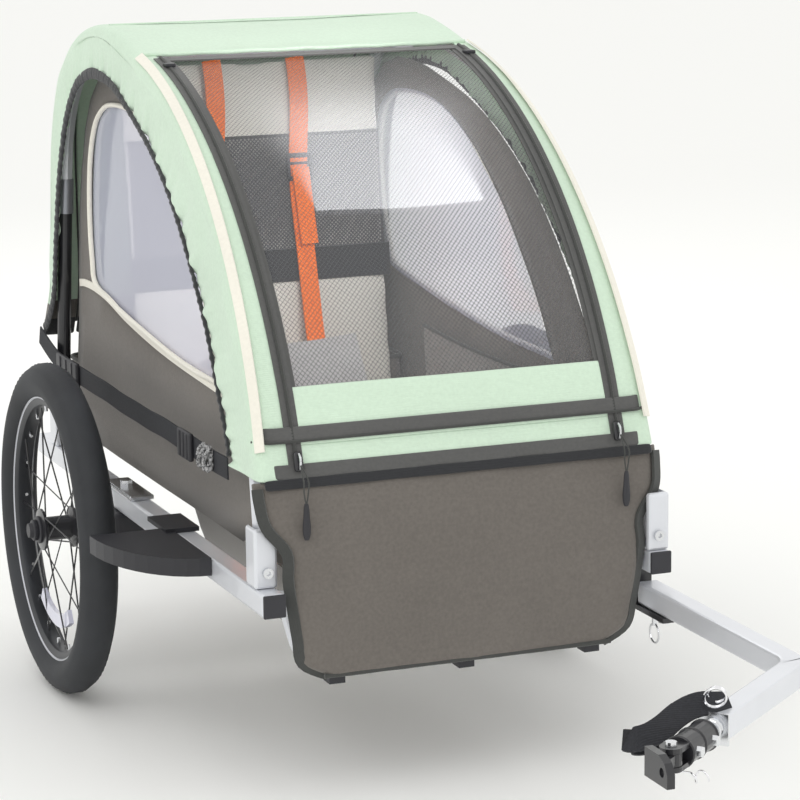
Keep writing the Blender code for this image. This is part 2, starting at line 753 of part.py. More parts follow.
if STAND.determinant() < 0:
    hitch_face_mesh.flip_normals()
join(hitch, hitch_face_mesh)
cut(hitch, rod_mesh("hitch_lug_hole", on_arm(HITCH_AT, 0, -0.02), on_arm(HITCH_AT, 0, 0.02), 0.0033))

pin_axis = joint_empty("hitch_pin_axis", on_arm(HITCH_AT), hitch_axis)
pin = rod(
    "hitch_pin", on_arm(HITCH_AT, 0, -0.0135), on_arm(HITCH_AT, 0, 0.0145), 0.003, ZINC, pin_axis,
    segments=12
)
head_ends = on_arm(HITCH_AT, 0, FORK_OUT + GAP), on_arm(HITCH_AT, 0, FORK_OUT + 0.0045)
join(pin, rod_mesh("hitch_pin_head", *head_ends, 0.0055, segments=12))

# Fabric body
TUB_TOP = 0.25
PANEL_PROFILE = [
    (-0.5133, 0.3535), (-0.5185, 0.335), (-0.526, 0.3078), (-0.5264, 0.3062), (-0.5306, 0.28), (-0.5335, 0.25), (-0.534, 0.22),
    (-0.533, 0.185), (-0.5305, 0.158), (-0.53, 0.142),
]
PANEL_HALF_WIDTHS = [0.2365, 0.2365, 0.2365, 0.2112, 0.2108, 0.2105, 0.2065, 0.201, 0.195, 0.166]


def panel_rows():
    for (y, z), half in zip(PANEL_PROFILE, PANEL_HALF_WIDTHS):
        yield [(half * k / 4, y, z) for k in range(-4, 5)]


def tub_mesh():
    """The footwell as an open-topped tray with thick walls, its front wall inside the front panel."""
    levels = ((-0.5325, -0.15, 0.192, TUB_TOP), (-0.532, -0.16, 0.178, 0.2), (-0.531, -0.165, 0.163, 0.1665))
    bm = bmesh.new()
    rings = []
    for inset in (0.0, CLOTH):
        for front, rear, x, z in levels:
            lift = inset if z == levels[-1][3] else 0
            xs, front, rear = x - inset, front + inset, rear - inset
            corners = ((-xs, front), (xs, front), (xs, rear), (-xs, rear))
            rings.append([bm.verts.new((*corner, z + lift)) for corner in corners])
    for upper, lower in ((0, 1), (1, 2), (3, 4), (4, 5), (0, 3)):
        bridge(bm, rings[upper], rings[lower])
    bm.faces.new(rings[2])
    bm.faces.new(rings[5])
    return finish_mesh(bm, "footwell_tray")


tub = sheet("footwell_tub", list(panel_rows())[::-1], CLOTH, TAUPE)
join(tub, tub_mesh())
skid = box("floor_skid", (-0.162, -0.524, 0.1375), (0.162, -0.494, 0.1452), BLACK_PLASTIC, rounding=0.001)
for foot_x in (-0.15, 0.0, 0.15):
    join(skid, box_mesh(f"foot_{foot_x}", (foot_x - 0.009, -0.522, 0.13), (foot_x + 0.009, -0.503, 0.139)))

CORD = [
    ((-0.4746, 0.4474), (-0.38, 0.43)), ((-0.4315, 0.5191), (-0.34, 0.487)), ((-0.3788, 0.5842), (-0.298, 0.532)),
    ((-0.3176, 0.6413), (-0.245, 0.582)), ((-0.249, 0.6893), (-0.19, 0.6245)), ((-0.1744, 0.7273), (-0.128, 0.661)),
    ((-0.1054, 0.7518), (-0.07, 0.6865)), (COVER_HINGE, (-0.017, 0.707)), ((0.02, 0.7805), (0.036, 0.7245)),
    ((0.08, 0.79), (0.085, 0.731)), ((0.13, 0.7895), (0.13, 0.7305)), ((0.18, 0.7805), (0.18, 0.716)),
    ((0.222, 0.765), (0.212, 0.692)), ((0.2555, 0.7435), (0.236, 0.661)), ((0.291, 0.709), (0.251, 0.628)),
    ((0.3165, 0.632), (0.266, 0.577)), ((0.3175, 0.54), (0.275, 0.51)), ((0.3195, 0.44), (0.285, 0.43)),
    ((0.348, 0.372), (0.33, 0.38)),
]
BAND = [((-0.5124, 0.355), (-0.425, 0.356)), ((-0.4995, 0.39), (-0.412, 0.385))]
STATIONS = BAND + CORD
OPEN_FROM, HINGE_ROW, FLAP_ROW = 1, 9, 15


def canopy_row(outer, edge):
    """One cross-section of the canopy, from the elastic edge on one side over to the other."""
    outer, edge = Vector(outer), Vector(edge)
    depth = (edge - outer).length
    half_row = []
    for share in (1.0, 0.62, 0.3):
        y, z = outer.lerp(edge, share)
        half_row.append((half_width(z), y, z))
    y, z = outer.lerp(edge, 0.011 / depth)
    half_row.append((half_width(z) + 0.0003, y, z))
    y, z = outer.lerp(edge, 0.003 / depth)
    half_row.append((half_width(z) - 0.003, y, z))
    half_row.append((half_width(outer.y) - 0.011, *outer))
    half_row.append((ZIP_X, *outer))
    right = [(-x, y, z) for x, y, z in half_row]
    return right + [(0, *outer)] + half_row[::-1]


canopy_rows = [canopy_row(outer, edge) for outer, edge in STATIONS]
MIDDLE_CELLS = (6, 7)


def canopy_open(r, c):
    return c in MIDDLE_CELLS and (OPEN_FROM <= r < HINGE_ROW or r >= FLAP_ROW)


canopy = sheet("canopy", canopy_rows, CLOTH, MINT, skip=canopy_open)


cover_axis = joint_empty("front_cover_axis", (0, *COVER_HINGE))
cover_rows = []
for y, z in front_arc(0.3935, COVER_HINGE[0] - 0.0045, ARC_RADIUS, 12):
    cover_rows.append([((ZIP_X - 0.001) * k / 4, y, z) for k in range(-4, 5)])
cover = sheet("front_cover", cover_rows, CLOTH, MESH, cover_axis)


def arc_sheet(name, z_low, z_high, half, radius, thickness, count=3, x=0.0):
    """A curved strip laid on the front arc, as a closed mesh about x."""
    bm = bmesh.new()
    rings = []
    for y, z in front_strip(z_low, z_high, radius, count):
        inner = Vector((ARC_Y, ARC_Z)).lerp(Vector((y, z)), (radius - thickness) / radius)
        rings.append([bm.verts.new(p) for p in (
            (x - half, y, z), (x + half, y, z), (x + half, inner.x, inner.y), (x - half, inner.x, inner.y))])
    for lower, upper in zip(rings, rings[1:]):
        bridge(bm, lower, upper)
    bm.faces.new(rings[0])
    bm.faces.new(rings[-1])
    return finish_mesh(bm, name)


def front_strip(z_low, z_high, radius, count):
    start = math.asin((z_low - ARC_Z) / radius)
    end = math.asin((z_high - ARC_Z) / radius)
    for k in range(count):
        angle = start + (end - start) * k / (count - 1)
        yield ARC_Y - radius * math.cos(angle), ARC_Z + radius * math.sin(angle)


join(cover, arc_sheet("cover_strip", 0.392, 0.408, 0.231, ARC_RADIUS + 0.0035, 0.003))
join(cover, arc_sheet("cover_strip_root", 0.396, 0.406, ZIP_X - 0.004, ARC_RADIUS + 0.002, 0.0045))

flap_axis = joint_empty("rear_flap_axis", (0, *STATIONS[FLAP_ROW][0]))
flap_rows = []
for r in range(FLAP_ROW, len(STATIONS)):
    y, z = STATIONS[r][0]
    if r == FLAP_ROW:
        y, z = Vector((y, z)).lerp(Vector(STATIONS[r + 1][0]), 0.025)
    flap_rows.append([((ZIP_X - 0.001) * k / 4, y, z) for k in range(-4, 5)])
sheet("rear_flap", flap_rows, CLOTH, MINT, flap_axis)

SIDE_PANEL_INSET = 0.015
WINDOW = [
    (-0.311, 0.421), (-0.305, 0.43), (-0.27, 0.484), (-0.224, 0.541), (-0.18, 0.587), (-0.134, 0.62),
    (-0.085, 0.654), (-0.03, 0.678), (0.02, 0.69), (0.07, 0.6935), (0.119, 0.692), (0.157, 0.685),
    (0.193, 0.663), (0.213, 0.623), (0.217, 0.575), (0.211, 0.527), (0.2, 0.49), (0.187, 0.464),
    (0.13, 0.452), (0.03, 0.44), (-0.156, 0.424),
]


def side_outline():
    """The side panel's edge as (y, z): just inside the hoop in front, behind the upright at the back."""
    edge = [(-0.484, 0.262)]
    edge += front_arc(0.3, -0.08, ARC_RADIUS - 0.05, 9)
    edge += [(0.03, 0.73), (0.13, 0.7345), (0.18, 0.722), (0.22, 0.69)]
    edge += [(0.247, 0.65), (0.262, 0.6), (0.268, 0.54), (0.268, 0.4), (0.268, 0.262)]
    return edge


def side_matrix(sign):
    """From flat (y, z) in a drawing to the side panel's leaning plane."""
    lean = math.tan(LEAN)
    columns = (
        (0, -sign * lean, sign, sign * (FOLD_X - SIDE_PANEL_INSET + FOLD_Z * lean)), (1, 0, 0, 0),
        (0, 1, 0, 0)
    )
    return Matrix((*columns, (0, 0, 0, 1)))


def shrunk(points, by):
    """A closed clockwise outline with every edge moved inwards by a distance."""
    moved = []
    for k, point in enumerate(points):
        before = (Vector(point) - Vector(points[k - 1])).normalized()
        after = (Vector(points[(k + 1) % len(points)]) - Vector(point)).normalized()
        first, second = Vector((before.y, -before.x)), Vector((after.y, -after.x))
        moved.append(tuple(Vector(point) + (first + second) * by / (1 + first.dot(second))))
    return moved


for side, sign in SIDES.items():
    plate(f"side_panel_{side}", [side_outline(), WINDOW], 0.0025, side_matrix(sign), TAUPE)
    plate(f"side_window_{side}", [shrunk(WINDOW, 0.0005)], 0.0015, side_matrix(sign), VINYL)


def open_bag(name, low, high, wall, paint, rear_slope=0.0):
    """A cloth bag that is open at the top. Its back wall may slope."""
    bm = bmesh.new()
    rings = []
    for inset, bottom in ((0.0, low[2]), (wall, low[2] + wall)):
        for z in (high[2], bottom):
            back = high[1] - inset + (rear_slope if z == high[2] else 0)
            xs, front = high[0] - inset, low[1] + inset
            rings.append(
                [bm.verts.new(p) for p in ((-xs, front, z), (xs, front, z), (xs, back, z), (-xs, back, z))]
            )
    for upper, lower in ((rings[0], rings[1]), (rings[2], rings[3]), (rings[0], rings[2])):
        bridge(bm, upper, lower)
    bm.faces.new(rings[1])
    bm.faces.new(rings[3])
    return add_object(name, finish_mesh(bm, name), paint, None)


open_bag("boot_bag", (-0.198, 0.145, 0.2455), (0.198, 0.32, 0.345), CLOTH, TAUPE, rear_slope=0.018)
seat_base = box(
    "seat_base", (-0.188, -0.13, 0.252), (0.188, 0.1, 0.3), SEAT_GREY, rounding=0.012, segments=3
)


def slab_mesh(name, bottom, top, half, thickness, x=0.0):
    """A board that leans back: bottom and top are (y, z) of the middle of its ends."""
    bottom, top = Vector((x, *bottom)), Vector((x, *top))
    rise = top - bottom
    turn = Vector((0, 0, 1)).rotation_difference(rise).to_matrix().to_4x4()
    bm = bmesh.new()
    bmesh.ops.create_cube(bm, size=1)
    size = Matrix.Diagonal((2 * half, thickness, rise.length, 1))
    bmesh.ops.transform(bm, matrix=Matrix.Translation((bottom + top) / 2) @ turn @ size, verts=bm.verts)
    return finish_mesh(bm, name)


seat_back = slab_mesh("seat_back", (0.118, 0.302), (0.17, 0.742), 0.176, 0.01)
bevel(add_object("seat_back", seat_back, SEAT_GREY, None), 0.004)

# Harness: one orange webbing from the seat back's top over both shoulders to the lap
STRAP_X, STRAP_HALF, STRAP_THICK = 0.055, 0.0125, 0.002
strap_line = [(0.157, 0.735), (0.138, 0.6), (0.121, 0.47), (0.09, 0.39), (0.03, 0.325), (-0.01, 0.306)]
LAP_Y = -0.01


def strap_mesh(name, x):
    bm = bmesh.new()
    rings = []
    for k, point in enumerate(strap_line):
        before = Vector(strap_line[max(k - 1, 0)])
        after = Vector(strap_line[min(k + 1, len(strap_line) - 1)])
        tangent = (after - before).normalized()
        normal = Vector((tangent.y, -tangent.x)) * STRAP_THICK / 2
        first, second = Vector(point) + normal, Vector(point) - normal
        rings.append([bm.verts.new(p) for p in (
            (x - STRAP_HALF, *first), (x + STRAP_HALF, *first), (x + STRAP_HALF, *second), (x - STRAP_HALF, *second))])
    for upper, lower in zip(rings, rings[1:]):
        bridge(bm, upper, lower)
    bm.faces.new(rings[0])
    bm.faces.new(rings[-1])
    return finish_mesh(bm, name)


harness = add_object("harness", strap_mesh("harness", -STRAP_X), ORANGE, None)
join(harness, strap_mesh("harness_strap_left", STRAP_X))
lap_low, lap_high = (-STRAP_X - STRAP_HALF + 0.001, LAP_Y - 0.012, 0.3005), (
    STRAP_X + STRAP_HALF - 0.001, LAP_Y + 0.012, 0.3075
)
join(harness, box_mesh("harness_lap", lap_low, lap_high))
for side, sign in SIDES.items():
    x = sign * STRAP_X
    adjuster_axis = joint_empty(f"adjuster_{side}_axis", (x, 0.138, 0.6))
    body = slab_mesh("adjuster_body", (0.1357, 0.584), (0.1402, 0.6175), 0.0165, 0.0075, x)
    adjuster = add_object(f"strap_adjuster_{side}", body, BLACK_PLASTIC, adjuster_axis)
    slot_half, slot_thick = STRAP_HALF + 0.0006, STRAP_THICK + 0.0012
    cut(
        adjuster,
        slab_mesh(f"adjuster_slot_{side}", (0.1333, 0.566), (0.1425, 0.6345), slot_half, slot_thick, x)
    )

# Crossbar between the hoops
hoop_x = FOLD_X - (CROWN_Z - FOLD_Z) * math.sin(LEAN)
crossbar_axis = joint_empty("crossbar_axis", (-hoop_x, CROSSBAR_Y, CROSSBAR_Z))
crossbar = rod(
    "crossbar", (-hoop_x + 0.011, CROSSBAR_Y, CROSSBAR_Z), (0.206, CROSSBAR_Y, CROSSBAR_Z), 0.008, SILVER,
    crossbar_axis
)
join(
    crossbar,
    rod_mesh(
        "crossbar_collar", (-hoop_x, CROSSBAR_Y - 0.008, CROSSBAR_Z),
        (-hoop_x, CROSSBAR_Y + 0.008, CROSSBAR_Z), 0.0131
    )
)
cut(
    crossbar,
    rod_mesh(
        "crossbar_bore", (-hoop_x, CROSSBAR_Y - 0.02, CROSSBAR_Z), (-hoop_x, CROSSBAR_Y + 0.02, CROSSBAR_Z),
        0.0102
    )
)
saddle_trim = (-0.3, CROSSBAR_Y - 0.03, 0.7), (-hoop_x - 0.003, CROSSBAR_Y + 0.03, 0.8)
cut(crossbar, box_mesh("crossbar_trim", *saddle_trim))

# Zip sliders on the lower band, and the webbing straps along the sides
for side, sign in SIDES.items():
    slider_axis = joint_empty(f"zip_slider_{side}_axis", (0, ARC_Y, ARC_Z))
    x = sign * 0.186
    name = f"zip_slider_{side}"
    body = arc_sheet(name, 0.362, 0.384, 0.0055, ARC_RADIUS + 0.0075, 0.0068, x=x)
    slider = add_object(name, body, BLACK_METAL, slider_axis)
    join(slider, box_mesh(f"slider_link_{side}", (x - 0.002, -0.5335, 0.3615), (x + 0.002, -0.513, 0.366)))
    join(slider, box_mesh(f"slider_pull_{side}", (x - 0.0045, -0.5345, 0.295), (x + 0.0045, -0.5318, 0.366)))

STRAP_INNER_X, STRAP_OUTER_X = 0.2346, 0.2366
for side, sign in SIDES.items():
    near, far = sign * STRAP_INNER_X, sign * STRAP_OUTER_X
    strap = box(f"side_strap_{side}", (near, -0.425, 0.3405), (far, 0.335, 0.3655), BLACK_WEBBING)
    for k, (y_from, y_to) in enumerate(((-0.31, -0.265), (0.147, 0.239))):
        low, high = sorted_corners((sign * 0.2341, y_from, 0.337), (sign * 0.2421, y_to, 0.369))
        join(strap, box_mesh(f"strap_buckle_{side}_{k}", low, high))
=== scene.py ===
"""The look of the child bicycle trailer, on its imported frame. at() takes Y from the wheel axle."""

from math import asin, atan2, cos, degrees, exp, pi, radians, sin, sqrt, tan

import bmesh
import bpy
from mathutils import Matrix, Vector, noise


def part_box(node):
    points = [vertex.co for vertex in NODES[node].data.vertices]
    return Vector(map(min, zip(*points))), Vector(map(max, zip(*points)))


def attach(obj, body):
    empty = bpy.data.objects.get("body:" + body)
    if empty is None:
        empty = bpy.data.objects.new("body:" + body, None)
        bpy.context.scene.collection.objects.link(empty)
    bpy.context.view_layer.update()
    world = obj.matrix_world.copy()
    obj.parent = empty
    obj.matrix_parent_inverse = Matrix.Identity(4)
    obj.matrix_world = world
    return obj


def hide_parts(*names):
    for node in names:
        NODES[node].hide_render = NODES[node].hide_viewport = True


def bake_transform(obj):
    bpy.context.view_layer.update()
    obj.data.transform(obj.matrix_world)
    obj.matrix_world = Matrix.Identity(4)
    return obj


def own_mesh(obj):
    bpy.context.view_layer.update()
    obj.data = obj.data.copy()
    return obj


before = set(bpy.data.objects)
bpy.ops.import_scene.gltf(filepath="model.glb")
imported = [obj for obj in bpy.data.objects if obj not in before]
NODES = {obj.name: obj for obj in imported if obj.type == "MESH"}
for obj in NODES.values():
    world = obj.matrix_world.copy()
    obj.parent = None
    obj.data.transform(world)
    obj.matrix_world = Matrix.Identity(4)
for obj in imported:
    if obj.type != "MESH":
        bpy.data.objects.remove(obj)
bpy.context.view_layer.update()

TYRE_LOW, TYRE_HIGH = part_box("tyre_right")
AXLE_Y = (TYRE_LOW.y + TYRE_HIGH.y) / 2
SIDES = {"right": -1, "left": 1}
ARC_Y, ARC_Z, ARC_RADIUS = 0.06, 0.175, 0.6
FOLD_X, FOLD_Z, LEAN = 0.224, 0.258, radians(2.5)
ZIP_X = 0.187


def at(x, y, z):
    """A point from its X, its Y from the axle, and its height."""
    return Vector((x, y + AXLE_Y, z))


# ---------------------------------------------------------------- camera and light
def add_camera():
    """The photograph's viewpoint: front right quarter, a little above, through a long lens."""
    data = bpy.data.cameras.new("camera")
    camera = bpy.data.objects.new("camera", data)
    bpy.context.scene.collection.objects.link(camera)
    turn, rise, roll = radians(-21.74), radians(11.21), radians(-0.62)
    forward = Vector((-sin(turn) * cos(rise), cos(turn) * cos(rise), -sin(rise)))
    right = Vector((cos(turn), sin(turn), 0))
    up = right.cross(forward)
    right_rolled = cos(roll) * right + sin(roll) * up
    up_rolled = cos(roll) * up - sin(roll) * right
    basis = Matrix((right_rolled, up_rolled, -forward)).transposed().to_4x4()
    camera.matrix_world = Matrix.Translation(at(-1.2294, -3.4181, 1.0637)) @ basis
    data.lens = 135.4
    data.sensor_width = 36
    data.shift_y = -0.0154
    data.clip_end = 50
    bpy.context.scene.camera = camera


def add_area(name, place, target, size, power):
    """A square lamp at place that faces the target."""
    data = bpy.data.lights.new(name, "AREA")
    data.energy = power
    data.size = size
    lamp = bpy.data.objects.new(name, data)
    bpy.context.scene.collection.objects.link(lamp)
    lamp.location = place
    lamp.rotation_euler = (Vector(target) - Vector(place)).to_track_quat("-Z", "Y").to_euler()
    return lamp


def add_studio():
    """A white room with three large lamps, and a small hidden one that lights the seat."""
    world = bpy.data.worlds.new("studio")
    bpy.context.scene.world = world
    world.use_nodes = True
    world.node_tree.nodes["Background"].inputs["Color"].default_value = (1, 1, 0.985, 1)
    world.node_tree.nodes["Background"].inputs["Strength"].default_value = 1.0
    add_area("key", (-2.2, -2.2, 3.2), (0, 0, 0.4), 2.4, 26)
    add_area("fill", (3.0, -1.6, 2.0), (0, 0, 0.4), 2.0, 6)
    add_area("back", (0.6, 3.0, 2.6), (0, 0, 0.5), 2.4, 12)
    cabin = add_area("cabin", at(0, -0.3, 0.69), at(0, 0.12, 0.45), 0.2, 0.8)
    cabin.visible_camera = False
    cabin.visible_glossy = False
    cabin.data.spread = radians(110)
    bpy.ops.mesh.primitive_plane_add(size=40, location=(0, 0, 0))
    floor = bpy.context.object
    floor.name = "floor"
    floor.data.materials.append(plain("floor_white", (0.93, 0.93, 0.915), 0.9))
    scene = bpy.context.scene
    scene.view_settings.view_transform = "Standard"
    scene.view_settings.look = "None"
    scene.view_settings.exposure = 0.0


# ---------------------------------------------------------------- materials
def new_material(name, **inputs):
    """A material, its nodes, its links, and its shader with these inputs, whose spaces are written as _."""
    made = bpy.data.materials.new(name)
    made.use_nodes = True
    tree = made.node_tree
    shader = tree.nodes["Principled BSDF"]
    for key, value in inputs.items():
        shader.inputs[key.replace("_", " ")].default_value = value
    return made, tree.nodes, tree.links, shader


def node(nodes, kind, **values):
    """A shader node of this kind, with its inputs or settings."""
    made = nodes.new("ShaderNode" + kind)
    for key, value in values.items():
        if key in made.inputs:
            made.inputs[key].default_value = value
        else:
            setattr(made, key, value)
    return made


def ramp(nodes, low, high, at_low=0.35, at_high=0.65):
    made = node(nodes, "ValToRGB")
    made.color_ramp.elements[0].color = (*low, 1)
    made.color_ramp.elements[1].color = (*high, 1)
    made.color_ramp.elements[0].position = at_low
    made.color_ramp.elements[1].position = at_high
    return made


def plain(name, colour, roughness):
    return new_material(name, Base_Color=(*colour, 1), Roughness=roughness)[0]


def surface(name, colour, roughness, metallic=0.0, spread=0.08, grain=60.0, bump=0.05, coat=0.0):
    """Paint, plastic, metal or rubber: slight colour variation, and a fine grain in the surface."""
    values = dict(Roughness=roughness, Metallic=metallic, Coat_Weight=coat)
    made, nodes, links, shader = new_material(name, **values)
    place = node(nodes, "TexCoord")
    broad = node(nodes, "TexNoise", Scale=9.0, Detail=3.0)
    dark = tuple(c * (1 - spread) for c in colour)
    light = tuple(min(1, c * (1 + spread)) for c in colour)
    tint = ramp(nodes, dark, light)
    fine = node(nodes, "TexNoise", Scale=grain, Detail=4.0)
    lift = node(nodes, "Bump", Strength=bump, Distance=0.0004)
    links.new(place.outputs["Object"], broad.inputs["Vector"])
    links.new(place.outputs["Object"], fine.inputs["Vector"])
    links.new(broad.outputs["Fac"], tint.inputs["Fac"])
    links.new(tint.outputs["Color"], shader.inputs["Base Color"])
    links.new(fine.outputs["Fac"], lift.inputs["Height"])
    links.new(lift.outputs["Normal"], shader.inputs["Normal"])
    return made


def cloth(name, colour, spread=0.1, bump=0.35):
    """Plain woven fabric: threads along all three axes, flecked colour, soft creases in the surface."""
    made, nodes, links, shader = new_material(name, Roughness=0.88, Sheen_Weight=0.25)
    place = node(nodes, "TexCoord")
    heights = []
    for direction in ("X", "Y", "Z"):
        wave = node(nodes, "TexWave", Scale=0.314 / 0.0011, Distortion=0.6, bands_direction=direction)
        links.new(place.outputs["Object"], wave.inputs["Vector"])
        heights.append(wave.outputs["Fac"])
    first = node(nodes, "Math", operation="MULTIPLY")
    links.new(heights[0], first.inputs[0])
    links.new(heights[2], first.inputs[1])
    weave = node(nodes, "Math", operation="ADD")
    links.new(first.outputs[0], weave.inputs[0])
    links.new(heights[1], weave.inputs[1])
    fleck = node(nodes, "TexNoise", Scale=260.0, Detail=2.0)
    cloud = node(nodes, "TexNoise", Scale=5.0, Detail=5.0, Roughness=0.6)
    links.new(place.outputs["Object"], fleck.inputs["Vector"])
    links.new(place.outputs["Object"], cloud.inputs["Vector"])
    mix = node(nodes, "Mix")
    mix.inputs["Factor"].default_value = 0.5
    links.new(cloud.outputs["Fac"], mix.inputs[2])
    links.new(fleck.outputs["Fac"], mix.inputs[3])
    tint = ramp(
        nodes, tuple(c * (1 - spread) for c in colour), tuple(min(1, c * (1 + spread)) for c in colour)
    )
    links.new(mix.outputs[0], tint.inputs["Fac"])
    links.new(tint.outputs["Color"], shader.inputs["Base Color"])
    lift = node(nodes, "Bump", Strength=bump, Distance=0.0003)
    links.new(weave.outputs[0], lift.inputs["Height"])
    crease = node(nodes, "Bump", Strength=0.25, Distance=0.004)
    links.new(cloud.outputs["Fac"], crease.inputs["Height"])
    links.new(crease.outputs["Normal"], lift.inputs["Normal"])
    links.new(lift.outputs["Normal"], shader.inputs["Normal"])
    return made


def webbing(name, colour, along="Z", speckle=None):
    """Woven strap: fine ribs across its length, and flecks of a second colour."""
    made, nodes, links, shader = new_material(name, Roughness=0.75)
    place = node(nodes, "TexCoord")
    rib = node(nodes, "TexWave", Scale=0.314 / 0.0016, Distortion=0.4, bands_direction=along)
    links.new(place.outputs["Object"], rib.inputs["Vector"])
    fleck = node(nodes, "TexNoise", Scale=420.0, Detail=2.0)
    links.new(place.outputs["Object"], fleck.inputs["Vector"])
    tint = ramp(nodes, tuple(c * 0.75 for c in colour), speckle or tuple(min(1, c * 1.2) for c in colour))
    links.new(fleck.outputs["Fac"], tint.inputs["Fac"])
    links.new(tint.outputs["Color"], shader.inputs["Base Color"])
    lift = node(nodes, "Bump", Strength=0.6, Distance=0.0004)
    links.new(rib.outputs["Fac"], lift.inputs["Height"])
    links.new(lift.outputs["Normal"], shader.inputs["Normal"])
    return made


def net(name, colour, pitch_u, pitch_v, wire, backing=0.0):
    """Diamond mesh on UV in metres: thin threads that cross, open between, over a faint film."""
    made, nodes, links, shader = new_material(name, Base_Color=(*colour, 1), Roughness=0.6)
    place = node(nodes, "TexCoord")
    split = node(nodes, "SeparateXYZ")
    links.new(place.outputs["UV"], split.inputs[0])
    scaled = []
    for axis, pitch in (("X", pitch_u), ("Y", pitch_v)):
        step = node(nodes, "Math", operation="DIVIDE")
        links.new(split.outputs[axis], step.inputs[0])
        step.inputs[1].default_value = pitch
        scaled.append(step)
    distances = []
    for operation in ("ADD", "SUBTRACT"):
        lean = node(nodes, "Math", operation=operation)
        links.new(scaled[0].outputs[0], lean.inputs[0])
        links.new(scaled[1].outputs[0], lean.inputs[1])
        wrap = node(nodes, "Math", operation="PINGPONG")
        wrap.inputs[1].default_value = 0.5
        links.new(lean.outputs[0], wrap.inputs[0])
        distances.append(wrap)
    nearest = node(nodes, "Math", operation="MINIMUM")
    links.new(distances[0].outputs[0], nearest.inputs[0])
    links.new(distances[1].outputs[0], nearest.inputs[1])
    thread = node(nodes, "Math", operation="LESS_THAN")
    thread.inputs[1].default_value = wire
    links.new(nearest.outputs[0], thread.inputs[0])
    cover = node(nodes, "Math", operation="MAXIMUM")
    cover.inputs[1].default_value = backing
    links.new(thread.outputs[0], cover.inputs[0])
    links.new(cover.outputs[0], shader.inputs["Alpha"])
    return made


def film(name, colour, alpha, roughness=0.06):
    """Clear vinyl: a tinted, mostly see-through skin with a gloss and a faint ripple. On the front window its
    near-white tint is painted reflection haze.
    """
    values = dict(Base_Color=(*colour, 1), Roughness=roughness, Alpha=alpha)
    made, nodes, links, shader = new_material(name, **values)
    place = node(nodes, "TexCoord")
    ripple = node(nodes, "TexNoise", Scale=7.0, Detail=2.0)
    lift = node(nodes, "Bump", Strength=0.15, Distance=0.004)
    links.new(place.outputs["Object"], ripple.inputs["Vector"])
    links.new(ripple.outputs["Fac"], lift.inputs["Height"])
    links.new(lift.outputs["Normal"], shader.inputs["Normal"])
    return made


MINT = cloth("mint", (0.60, 0.745, 0.60), spread=0.05)
TAUPE = cloth("taupe", (0.142, 0.127, 0.113), spread=0.12)
TRIM = cloth("trim", (0.048, 0.05, 0.047), spread=0.1, bump=0.2)
HEM_GREY = cloth("hem_grey", (0.09, 0.09, 0.088), spread=0.1, bump=0.25)
CREAM = cloth("cream", (0.83, 0.80, 0.71), spread=0.04, bump=0.2)
SEAT = cloth("seat", (0.64, 0.62, 0.57), spread=0.06)
PAD_GREY = cloth("pad_grey", (0.38, 0.37, 0.365), spread=0.15)
LINING = cloth("lining", (0.25, 0.235, 0.22), spread=0.1)
BLACK_CLOTH = cloth("black_cloth", (0.018, 0.019, 0.022), spread=0.15, bump=0.5)
ORANGE = webbing("orange_webbing", (1.0, 0.17, 0.008))
BLACK_WEB = webbing("black_webbing", (0.016, 0.017, 0.022), along="Y")
KNOT = webbing("elastic_cord", (0.03, 0.03, 0.035), along="Y", speckle=(0.5, 0.5, 0.5))
SILVER = surface(
    "silver_paint", (0.70, 0.715, 0.755), 0.33, 0.35, spread=0.03, grain=900, bump=0.08, coat=0.3
)
BLACK_PAINT = surface(
    "black_paint", (0.016, 0.016, 0.019), 0.28, 0.0, spread=0.2, grain=700, bump=0.06, coat=0.3
)
PLASTIC = surface("black_plastic", (0.022, 0.022, 0.027), 0.48, 0.0, spread=0.15, grain=1500, bump=0.25)
ZINC = surface("zinc", (0.68, 0.69, 0.71), 0.22, 1.0, spread=0.08, grain=300, bump=0.05)
CHROME = surface("chrome", (0.82, 0.82, 0.84), 0.08, 1.0, spread=0.03, grain=200, bump=0.02)
TYRE = surface("tyre", (0.027, 0.029, 0.033), 0.72, 0.0, spread=0.25, grain=500, bump=0.35)
RIM_DARK = surface("rim_dark", (0.035, 0.037, 0.042), 0.38, 0.5, spread=0.15, grain=400, bump=0.05)
RIM_SILVER = surface("rim_silver", (0.55, 0.56, 0.60), 0.3, 0.85, spread=0.06, grain=300, bump=0.05)
SLEEVE = surface("sleeve_grey", (0.32, 0.33, 0.36), 0.35, 0.7, spread=0.08, grain=300, bump=0.05)
REFLECT = surface("reflector", (0.72, 0.72, 0.86), 0.15, 0.0, spread=0.12, grain=240, bump=0.6, coat=0.6)
NET = net("window_net", (0.03, 0.031, 0.035), 0.0056, 0.0062, 0.06)
POCKET_NET = net("pocket_net", (0.05, 0.05, 0.055), 0.005, 0.005, 0.2, backing=0.35)
VINYL = film("clear_vinyl", (0.72, 0.73, 0.88), 0.62)
# The front vinyl's near-white colour at 7% cover is partly the clear vinyl's own faint tint and partly painted
# reflection haze: it stands in for the whitening that the white room's reflection puts on the window.
FRONT_VINYL_PAINTED_HAZE = film("front_vinyl_painted_haze", (0.93, 0.94, 0.97), 0.07, 0.04)


# ---------------------------------------------------------------- mesh helpers
FOLDING = []
FLAT, SOFT, FIRM = 0.12, 0.3, 0.5


def dress(piece, keep=None, node=None):
    """Hides the CAD node that a piece stands for, and lists the piece in FOLDING with its keep value (FLAT,
    SOFT or FIRM).
    """
    if node:
        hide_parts(node)
    if keep:
        FOLDING.append((piece, keep))
    return piece


def new_object(name, bm, material):
    """An object from a bmesh, in one material or a list of them."""
    mesh = bpy.data.meshes.new(name)
    bm.to_mesh(mesh)
    bm.free()
    for finish in material if isinstance(material, list) else [material]:
        mesh.materials.append(finish)
    obj = bpy.data.objects.new(name, mesh)
    bpy.context.scene.collection.objects.link(obj)
    return obj


